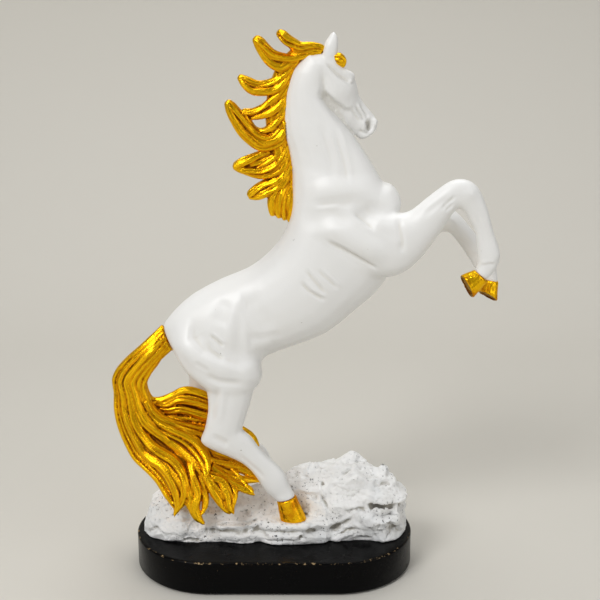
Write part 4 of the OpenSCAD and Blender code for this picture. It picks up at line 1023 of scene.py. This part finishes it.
def add_hair(name, locks, node, material, grain, inset, front):
    """Fused, grooved piece of hair that stands for a CAD node, filled with the node's form as far as its front."""
    mesh, rows = hair_mesh(locks, bpy.context.scene.statue_sizes, material)
    whole = hair_core(node, inset, front)
    whole.from_mesh(mesh)
    whole.to_mesh(mesh)
    whole.free()
    skin = fused(mesh, grain)
    steps = (HAIR_PASS_GRAIN / grain) ** 2
    skin.relax(round(HAIR_PASSES * steps))
    broad = skin.hollows(round(BROAD_PASSES * steps))
    hollow = skin.hollows(round(FINE_PASSES * steps)) + BROAD_SHARE * broad
    piece = add_piece(name, skin.points, skin.faces, material, node)
    store(piece, "hollow", hollow)
    store(piece, "flow", flow_along(skin.points, rows))


# Slabs with round ends

ROUND_END_POINTS = 72


def outline(length, width, inset, z):
    """Level outline with straight sides and round ends."""
    half = (length - width) / 2
    r = width / 2 - inset
    found = []
    for side, start in ((1, -90), (-1, 90)):
        for k in range(ROUND_END_POINTS):
            a = math.radians(start + 180 * k / (ROUND_END_POINTS - 1))
            found.append((side * half + r * math.cos(a), r * math.sin(a), z))
    return found


def slab(length, width, levels):
    """Points and faces of a closed slab with round ends, from each level's height and inset, the lowest first."""
    rings = [outline(length, width, inset, z) for z, inset in levels]
    count = len(rings[0])
    points = [p for ring in rings for p in ring]
    faces = [list(range(count))[::-1], [(len(rings) - 1) * count + k for k in range(count)]]
    for i in range(len(rings) - 1):
        for k in range(count):
            a, b = i * count + k, i * count + (k + 1) % count
            faces.append([a, b, b + count, a + count])
    return points, faces


# Operators

# Plain sheet behind and under the statue, in metres: half its width, its front edge, its wall, their bend and its top
SHEET_HALF = 2.2
SHEET_FRONT = -2.0
SHEET_WALL = 0.75
SHEET_BEND = 0.35
SHEET_TOP = 2.2
BEND_STEPS = 24


class STATUE_OT_stage(bpy.types.Operator):
    """Camera at the photograph's angle, soft lights and a plain pale backdrop"""
    bl_idname = "statue.stage"
    bl_label = "Stage"
    bl_options = {"REGISTER", "UNDO"}

    def execute(self, context):
        scene = context.scene
        lens = bpy.data.cameras.new("photo_camera")
        lens.sensor_width = CAMERA_SENSOR
        lens.lens = CAMERA_LENS
        camera = bpy.data.objects.new("photo_camera", lens)
        camera.location = CAMERA_PLACE
        camera.rotation_euler = (math.radians(90 - CAMERA_DOWN), 0, 0)
        scene.collection.objects.link(camera)
        scene.camera = camera
        scene.view_settings.view_transform = "Standard"
        for name, place, width, power in LIGHTS:
            lamp = bpy.data.lights.new(name, "AREA")
            lamp.shape = "DISK"
            lamp.size = width
            lamp.energy = power
            light = bpy.data.objects.new(name, lamp)
            light.location = place
            light.rotation_euler = (Vector(LIGHT_TARGET) - Vector(place)).to_track_quat("-Z", "Y").to_euler()
            scene.collection.objects.link(light)
        world = bpy.data.worlds.new("soft_room")
        world.use_nodes = True
        background = world.node_tree.nodes["Background"].inputs
        background["Color"].default_value = ROOM_COLOUR
        background["Strength"].default_value = ROOM_STRENGTH
        scene.world = world
        backdrop = bpy.data.objects.new("backdrop", self.sheet(backdrop_paint(scene.statue_colours)))
        scene.collection.objects.link(backdrop)
        return {"FINISHED"}

    @staticmethod
    def sheet(material):
        """Mesh of a floor that bends up into a wall."""
        profile = [(SHEET_FRONT, 0.0)]
        for k in range(BEND_STEPS + 1):
            a = math.radians(90 * k / BEND_STEPS)
            y = SHEET_WALL - SHEET_BEND + SHEET_BEND * math.sin(a)
            profile.append((y, SHEET_BEND - SHEET_BEND * math.cos(a)))
        profile.append((SHEET_WALL, SHEET_TOP))
        points = [(x, y, z) for x in (-SHEET_HALF, SHEET_HALF) for y, z in profile]
        count = len(profile)
        mesh = bpy.data.meshes.new("backdrop")
        mesh.from_pydata(points, [], [(k, k + count, k + count + 1, k + 1) for k in range(count - 1)])
        mesh.shade_smooth()
        mesh.materials.append(material)
        return mesh


# Smoothing passes of the white skin, and those that show its hollows
SKIN_PASSES = 6
SKIN_HOLLOWS = 25


class STATUE_OT_castings(bpy.types.Operator):
    """White castings of the horse, smoothed over their seams and modelled with muscles and a face"""
    bl_idname = "statue.castings"
    bl_label = "White castings"
    bl_options = {"REGISTER", "UNDO"}

    def execute(self, context):
        sizes, tint = context.scene.statue_sizes, context.scene.statue_colours
        skin = fused(solid_copy(WHITE_NODES), sizes.skin_grain)
        skin.relax(SKIN_PASSES)
        for reach, passes, path in FLOWING:
            away = path_distance(skin.points[:, 0], skin.points[:, 2], path)[0]
            skin.relax(passes, 0.5 * smooth_step(reach, FLOWING_FULL * reach, away)[:, None])
        skin.push(EAR_BODY * smooth_step(*EAR_HEIGHTS, skin.points[:, 2]))
        away, _, along = path_distance(skin.points[:, 0], skin.points[:, 2], FAR_KNEE)
        back = np.clip(1 - (away / FAR_KNEE_REACH) ** 2, 0, 1) ** 2 * (1 - along)
        back *= skin.points[:, 1] > FAR_KNEE_SIDE
        skin.points[:, 0] += FAR_KNEE_BACK[0] * back
        skin.points[:, 2] += FAR_KNEE_BACK[1] * back
        hind = [(-1, *stroke) for stroke in HIND_MUSCLES]
        sx, sz = LEFT_HIND_SHIFT
        hind += [(1, r, d, e, tuple((x + sx, z + sz) for x, z in path)) for r, d, e, path in HIND_MUSCLES]
        carve(skin, skin.points[:, 0], MUSCLES + tuple(hind) + FORE_MUSCLES, sizes.muscle)
        x, y, z = skin.points.T
        head = (x > POLL_X) & (z > HEAD_LOW)
        straight = POLL_X + (x - POLL_X) * math.cos(HEAD_TURN) + y * math.sin(HEAD_TURN)
        carve(skin, np.where(head, straight, OUT_OF_REACH), FACE, sizes.muscle)
        skin.relax(1)
        self.part(skin, white_paint(tint))
        return {"FINISHED"}

    def part(self, skin, material):
        """Cuts the skin along the castings' seams into closed pieces."""
        mesh = bpy.data.meshes.new("skin")
        mesh.from_pydata(skin.points.tolist(), [], skin.faces.tolist())
        whole = bmesh.new()
        whole.from_mesh(mesh)
        bpy.data.meshes.remove(mesh)
        depth = whole.verts.layers.float.new("hollow")
        for vert, value in zip(whole.verts, skin.hollows(SKIN_HOLLOWS)):
            vert[depth] = value
        for place, way, side in SEAMS.values():
            near = [f for f in whole.faces if self.beside(f, place, way, side)]
            cut = list({e for f in near for e in f.edges}) + list({v for f in near for v in f.verts}) + near
            bmesh.ops.bisect_plane(whole, geom=cut, plane_co=place, plane_no=way, dist=1e-5)
        whole.normal_update()
        groups = {name: [] for name in WHITE_NODES}
        for face in whole.faces:
            groups[self.owner(face.calc_center_median())].append(face)
        for name, faces in groups.items():
            self.close_piece(name, faces, depth, material)
        whole.free()

    @staticmethod
    def beside(face, place, way, side):
        """Whether a face lies at a seam."""
        gap = face.calc_center_median() - Vector(place)
        at_plane = abs(gap.dot(Vector(way))) < SEAM_BAND
        return at_plane and side * (gap.y + place[1]) >= 0 and gap.length < SEAM_REACH

    @staticmethod
    def owner(centre):
        """Name of the casting that a face belongs to, from its centre."""
        for name, (place, way, side) in SEAMS.items():
            gap = centre - Vector(place)
            beyond = gap.dot(Vector(way)) > 0 and side * centre.y >= 0
            if beyond and (name == "neck_and_head" or gap.z < LIMB_TOP):
                return name
        return "trunk"

    @staticmethod
    def close_piece(name, faces, depth, material):
        """Piece of some faces of the cut skin, closed by flat caps at its seams and shaded as the whole skin is."""
        part = bmesh.new()
        hollow = part.verts.layers.float.new("hollow")
        made = {}
        for face in faces:
            for vert in face.verts:
                if vert not in made:
                    made[vert] = part.verts.new(vert.co * MM)
                    made[vert][hollow] = vert[depth]
            part.faces.new([made[v] for v in face.verts])
        normals = [vert.normal.copy() for vert in made]
        for face in part.faces:
            face.smooth = True
        rim = [e for e in part.edges if e.is_boundary]
        caps = bmesh.ops.holes_fill(part, edges=rim, sides=0)["faces"]
        bmesh.ops.recalc_face_normals(part, faces=part.faces)
        for face in caps:
            face.smooth = False
        mesh = bpy.data.meshes.new("horse_" + name)
        part.to_mesh(mesh)
        part.free()
        mesh.normals_split_custom_set_from_vertices(normals)
        dress(mesh, material, name)


# Raised hooves: the way that the sole faces, the wall that is built out, both as x and z, by how much, and the tilt
RAISED_HOOVES = {
    "right_fore_hoof": ((-0.887, -0.462), (0.462, -0.887), 0.9, 0.23),
    "left_fore_hoof": ((-0.514, -0.857), (-0.857, 0.514), 1.2, 0.36),
}
# A sole's depth, its hinge from the near side, how the tilt fades up the hoof, how squarely the sole faces its way,
# and where its rim starts and ends
SOLE_DEPTH = 0.7
SOLE_HINGE = 0.65
SOLE_FADE = 1.5
SOLE_FACING = (0.75, 0.95)
SOLE_RIM = (0.70, 0.85)
HOOF_PASSES = 6
HOOF_HOLLOWS = 10
# Lumps of a hoof's wall: their scale, height and how far they are sunk
LUMP_SCALE = 0.35
LUMP_HEIGHT = 0.13
LUMP_SINK = 0.06


def show_sole(skin, sole, wall, built_out, tilt):
    """Builds out one wall of a raised hoof, tilts the sole to the near side and sinks it inside a rim."""
    sole, wall = (np.array((x, 0.0, z)) for x, z in (sole, wall))
    skin.push(built_out * np.clip(skin.normals() @ wall, 0.0, 1.0))
    along = skin.points @ sole
    share = (along - along.min()) / np.ptp(along)
    y = skin.points[:, 1]
    hinge = y.min() + SOLE_HINGE * np.ptp(y)
    skin.points = skin.points - np.outer(tilt * (hinge - y) * share ** SOLE_FADE, sole)
    flat = smooth_step(*SOLE_FACING, skin.normals() @ sole)
    middle = skin.points[flat > 0.5].mean(axis=0)
    out = np.linalg.norm(skin.points - middle, axis=1)
    inside = flat * (1.0 - smooth_step(*SOLE_RIM, out / out[flat > 0.5].max()))
    skin.points = skin.points - np.outer(SOLE_DEPTH * inside, sole)
    return flat


class STATUE_OT_hooves(bpy.types.Operator):
    """Gold hooves with a lumpy painted wall, and hollow soles on the raised ones"""
    bl_idname = "statue.hooves"
    bl_label = "Hooves"
    bl_options = {"REGISTER", "UNDO"}

    def execute(self, context):
        sizes, tint = context.scene.statue_sizes, context.scene.statue_colours
        material = gold_paint("gold_hoof_paint", tint, False)
        for name in HOOF_NODES:
            skin = fused(solid_copy((name,)), sizes.hair_grain)
            skin.relax(HOOF_PASSES)
            lumps = np.array([noise.fractal(Vector(p) * LUMP_SCALE, 1.0, 2.0, 3) for p in skin.points])
            skin.push(LUMP_HEIGHT * lumps - LUMP_SINK)
            sole = show_sole(skin, *RAISED_HOOVES[name]) if name in RAISED_HOOVES else np.zeros(len(skin.points))
            piece = add_piece(name + "_gold", skin.points, skin.faces, material, name)
            store(piece, "hollow", skin.hollows(HOOF_HOLLOWS))
            store(piece, "sole", sole)
        return {"FINISHED"}


class STATUE_OT_hair(bpy.types.Operator):
    """Mane, forelock and tail of grooved locks"""
    bl_idname = "statue.hair"
    bl_label = "Hair"
    bl_options = {"REGISTER", "UNDO"}

    def execute(self, context):
        sizes, tint = context.scene.statue_sizes, context.scene.statue_colours
        material = gold_paint("gold_hair_paint", tint, True)
        tail = [*near_and_far(TAIL), *TAIL_BEHIND_LEG, *TAIL_CLUMP]
        # The node's form is drawn in by the inset, and ends at the front
        for node, locks, grain, inset, front in (
                ("mane", [*two_sided(MANE), *CREST], sizes.hair_grain, 1.3, 16),
                ("forelock", two_sided(FORELOCK), sizes.hair_grain, 1.3, 36),
                ("tail", tail, sizes.tail_grain, 1.7, 0)):
            add_hair("gold_" + node, locks, node, material, grain, inset, front)
        return {"FINISHED"}


ROCK_SEED = 5
# Smoothing passes of the rock, those that show its fine and its broad hollows, and the share of the broad ones
ROCK_PASSES = 8
ROCK_FINE = 24
ROCK_BROAD = 110
ROCK_BROAD_SHARE = 0.4
# The ledges wander by a noise of this scale, less up and down than along
DRIFT_SCALE = 0.3
DRIFT_UP = 0.7
# Chips of the rock from large to small, as height and scale, and what bends their borders and tilts their faces
CHIPS = ((1.5, 0.05), (0.6, 0.14), (0.2, 0.34))
CHIP_BEND = 3
CHIP_BEND_SCALE = 0.12
CHIP_SPREAD = 7.13
CHIP_TILT = 1.6
CHIP_LIMIT = 0.6
# Rough grain over the chips, the range of the whole change, and the height of the foot that fades it out
GRAIN_HEIGHT = 0.22
GRAIN_SCALE = 0.6
CHANGE_RANGE = (-1.6, 1.1)
FOOT_HEIGHT = 1.5


def chip(v, scale):
    """Height of a surface that is broken into flat chips, in shares of a chip."""
    warped = (v + CHIP_BEND * noise.noise_vector(v * CHIP_BEND_SCALE)) * scale
    middle = noise.voronoi(warped)[1][0]
    slope = noise.noise_vector(middle * CHIP_SPREAD)
    return max(-CHIP_LIMIT, min(CHIP_LIMIT, (warped - middle).dot(slope) * CHIP_TILT))


class STATUE_OT_rock(bpy.types.Operator):
    """Rough rock with broken ledges and pits"""
    bl_idname = "statue.rock"
    bl_label = "Rock"
    bl_options = {"REGISTER", "UNDO"}

    def execute(self, context):
        sizes, tint = context.scene.statue_sizes, context.scene.statue_colours
        noise.seed_set(ROCK_SEED)
        skin = fused(solid_copy(("rock",)), sizes.rock_grain)
        skin.relax(ROCK_PASSES)
        drift = np.array([noise.noise_vector(Vector(p) * DRIFT_SCALE) for p in skin.points])
        carve(skin, skin.points[:, 0] + drift[:, 0], ROCK_LEDGES, sizes.crag, DRIFT_UP * drift[:, 2])
        change = np.zeros(len(skin.points))
        for i, p in enumerate(skin.points):
            v = Vector(p)
            change[i] = sum(height * chip(v, scale) for height, scale in CHIPS)
            change[i] += GRAIN_HEIGHT * noise.fractal(v * GRAIN_SCALE, 0.7, 2.2, 4)
        z = skin.points[:, 2]
        foot = smooth_step(0.0, FOOT_HEIGHT, z - z.min())
        skin.push(np.clip(change, *CHANGE_RANGE) * sizes.crag * foot)
        piece = add_piece("rough_rock", skin.points, skin.faces, rock_paint(tint), "rock")
        store(piece, "hollow", skin.hollows(ROCK_FINE) + ROCK_BROAD_SHARE * skin.hollows(ROCK_BROAD))
        return {"FINISHED"}


def plan_of(name):
    """Length, width, underside and top of a CAD node with round ends, in millimetres."""
    low, high = (np.array(corner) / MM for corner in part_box(name))
    return high[0] - low[0], high[1] - low[1], low[2], high[2]


# Plinth: rounded foot as height and inset, bevel of the top edge with its angles, flat margins beside the bevel,
# and the upper share of the bevel that is worn
PLINTH_FOOT = ((0.0, 0.7), (0.2, 0.25), (0.7, 0.0))
BEVEL = 1.1
BEVEL_ANGLES = (0, 18, 36, 54, 72, 90)
BEVEL_MARGIN = 1.2
WORN_SHARE = 0.75
# Felt: rounding of its edges, as height and inset
FELT_EDGE = (0.3, 0.25)


class STATUE_OT_plinth(bpy.types.Operator):
    """Black plinth with round ends and a worn top edge"""
    bl_idname = "statue.plinth"
    bl_label = "Plinth"
    bl_options = {"REGISTER", "UNDO"}

    def execute(self, context):
        tint = context.scene.statue_colours
        length, width, low, high = plan_of("plinth")
        levels = [(low + height, inset) for height, inset in PLINTH_FOOT]
        levels.append((high - BEVEL - BEVEL_MARGIN, 0.0))
        for angle in BEVEL_ANGLES:
            a = math.radians(angle)
            levels.append((high - BEVEL + BEVEL * math.sin(a), BEVEL - BEVEL * math.cos(a)))
        levels.append((high, BEVEL + BEVEL_MARGIN))
        points, faces = slab(length, width, levels)
        piece = add_piece("black_plinth", points, faces, black_paint(tint), "plinth")
        worn = [1.0 if z > high - WORN_SHARE * BEVEL and inset < BEVEL else 0.0 for z, inset in levels]
        store(piece, "edge", np.repeat(worn, 2 * ROUND_END_POINTS))
        return {"FINISHED"}


class STATUE_OT_felt(bpy.types.Operator):
    """Felt sheet under the plinth"""
    bl_idname = "statue.felt"
    bl_label = "Felt"
    bl_options = {"REGISTER", "UNDO"}

    def execute(self, context):
        tint = context.scene.statue_colours
        length, width, low, high = plan_of("base_felt")
        edge, inset = FELT_EDGE
        points, faces = slab(length, width, [(low, inset), (low + edge, 0.0), (high - edge, 0.0), (high, inset)])
        piece = add_piece("felt_sheet", points, faces, felt_cloth(tint), "base_felt")
        return {"FINISHED"}


class STATUE_OT_steel(bpy.types.Operator):
    """Steel finish on the dowels and screws inside"""
    bl_idname = "statue.steel"
    bl_label = "Dowels and screws"
    bl_options = {"REGISTER", "UNDO"}

    def execute(self, context):
        material = drawn_steel(context.scene.statue_colours)
        for name in STEEL_NODES:
            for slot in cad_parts[name].material_slots:
                slot.material = material
        return {"FINISHED"}


STEPS = (STATUE_OT_stage, STATUE_OT_castings, STATUE_OT_hooves, STATUE_OT_hair, STATUE_OT_rock, STATUE_OT_plinth,
         STATUE_OT_felt, STATUE_OT_steel)


class STATUE_PT_panel(bpy.types.Panel):
    """Steps that dress the statue"""
    bl_idname = "STATUE_PT_panel"
    bl_label = "Horse statue"
    bl_space_type = "VIEW_3D"
    bl_region_type = "UI"
    bl_category = "Statue"

    def draw(self, context):
        for step in STEPS:
            self.layout.operator(step.bl_idname)


CLASSES = (StatueSizes, StatueColours, *STEPS, STATUE_PT_panel)


def register():
    """Adds the sizes, the colours, the steps and the panel to Blender."""
    for cls in CLASSES:
        bpy.utils.register_class(cls)
    bpy.types.Scene.statue_sizes = PointerProperty(type=StatueSizes)
    bpy.types.Scene.statue_colours = PointerProperty(type=StatueColours)


def unregister():
    """Takes them away again."""
    del bpy.types.Scene.statue_colours
    del bpy.types.Scene.statue_sizes
    for cls in reversed(CLASSES):
        bpy.utils.unregister_class(cls)


def main():
    """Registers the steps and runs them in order."""
    register()
    for step in STEPS:
        getattr(bpy.ops.statue, step.bl_idname.split(".")[1])()


if __name__ == "__main__":
    main()
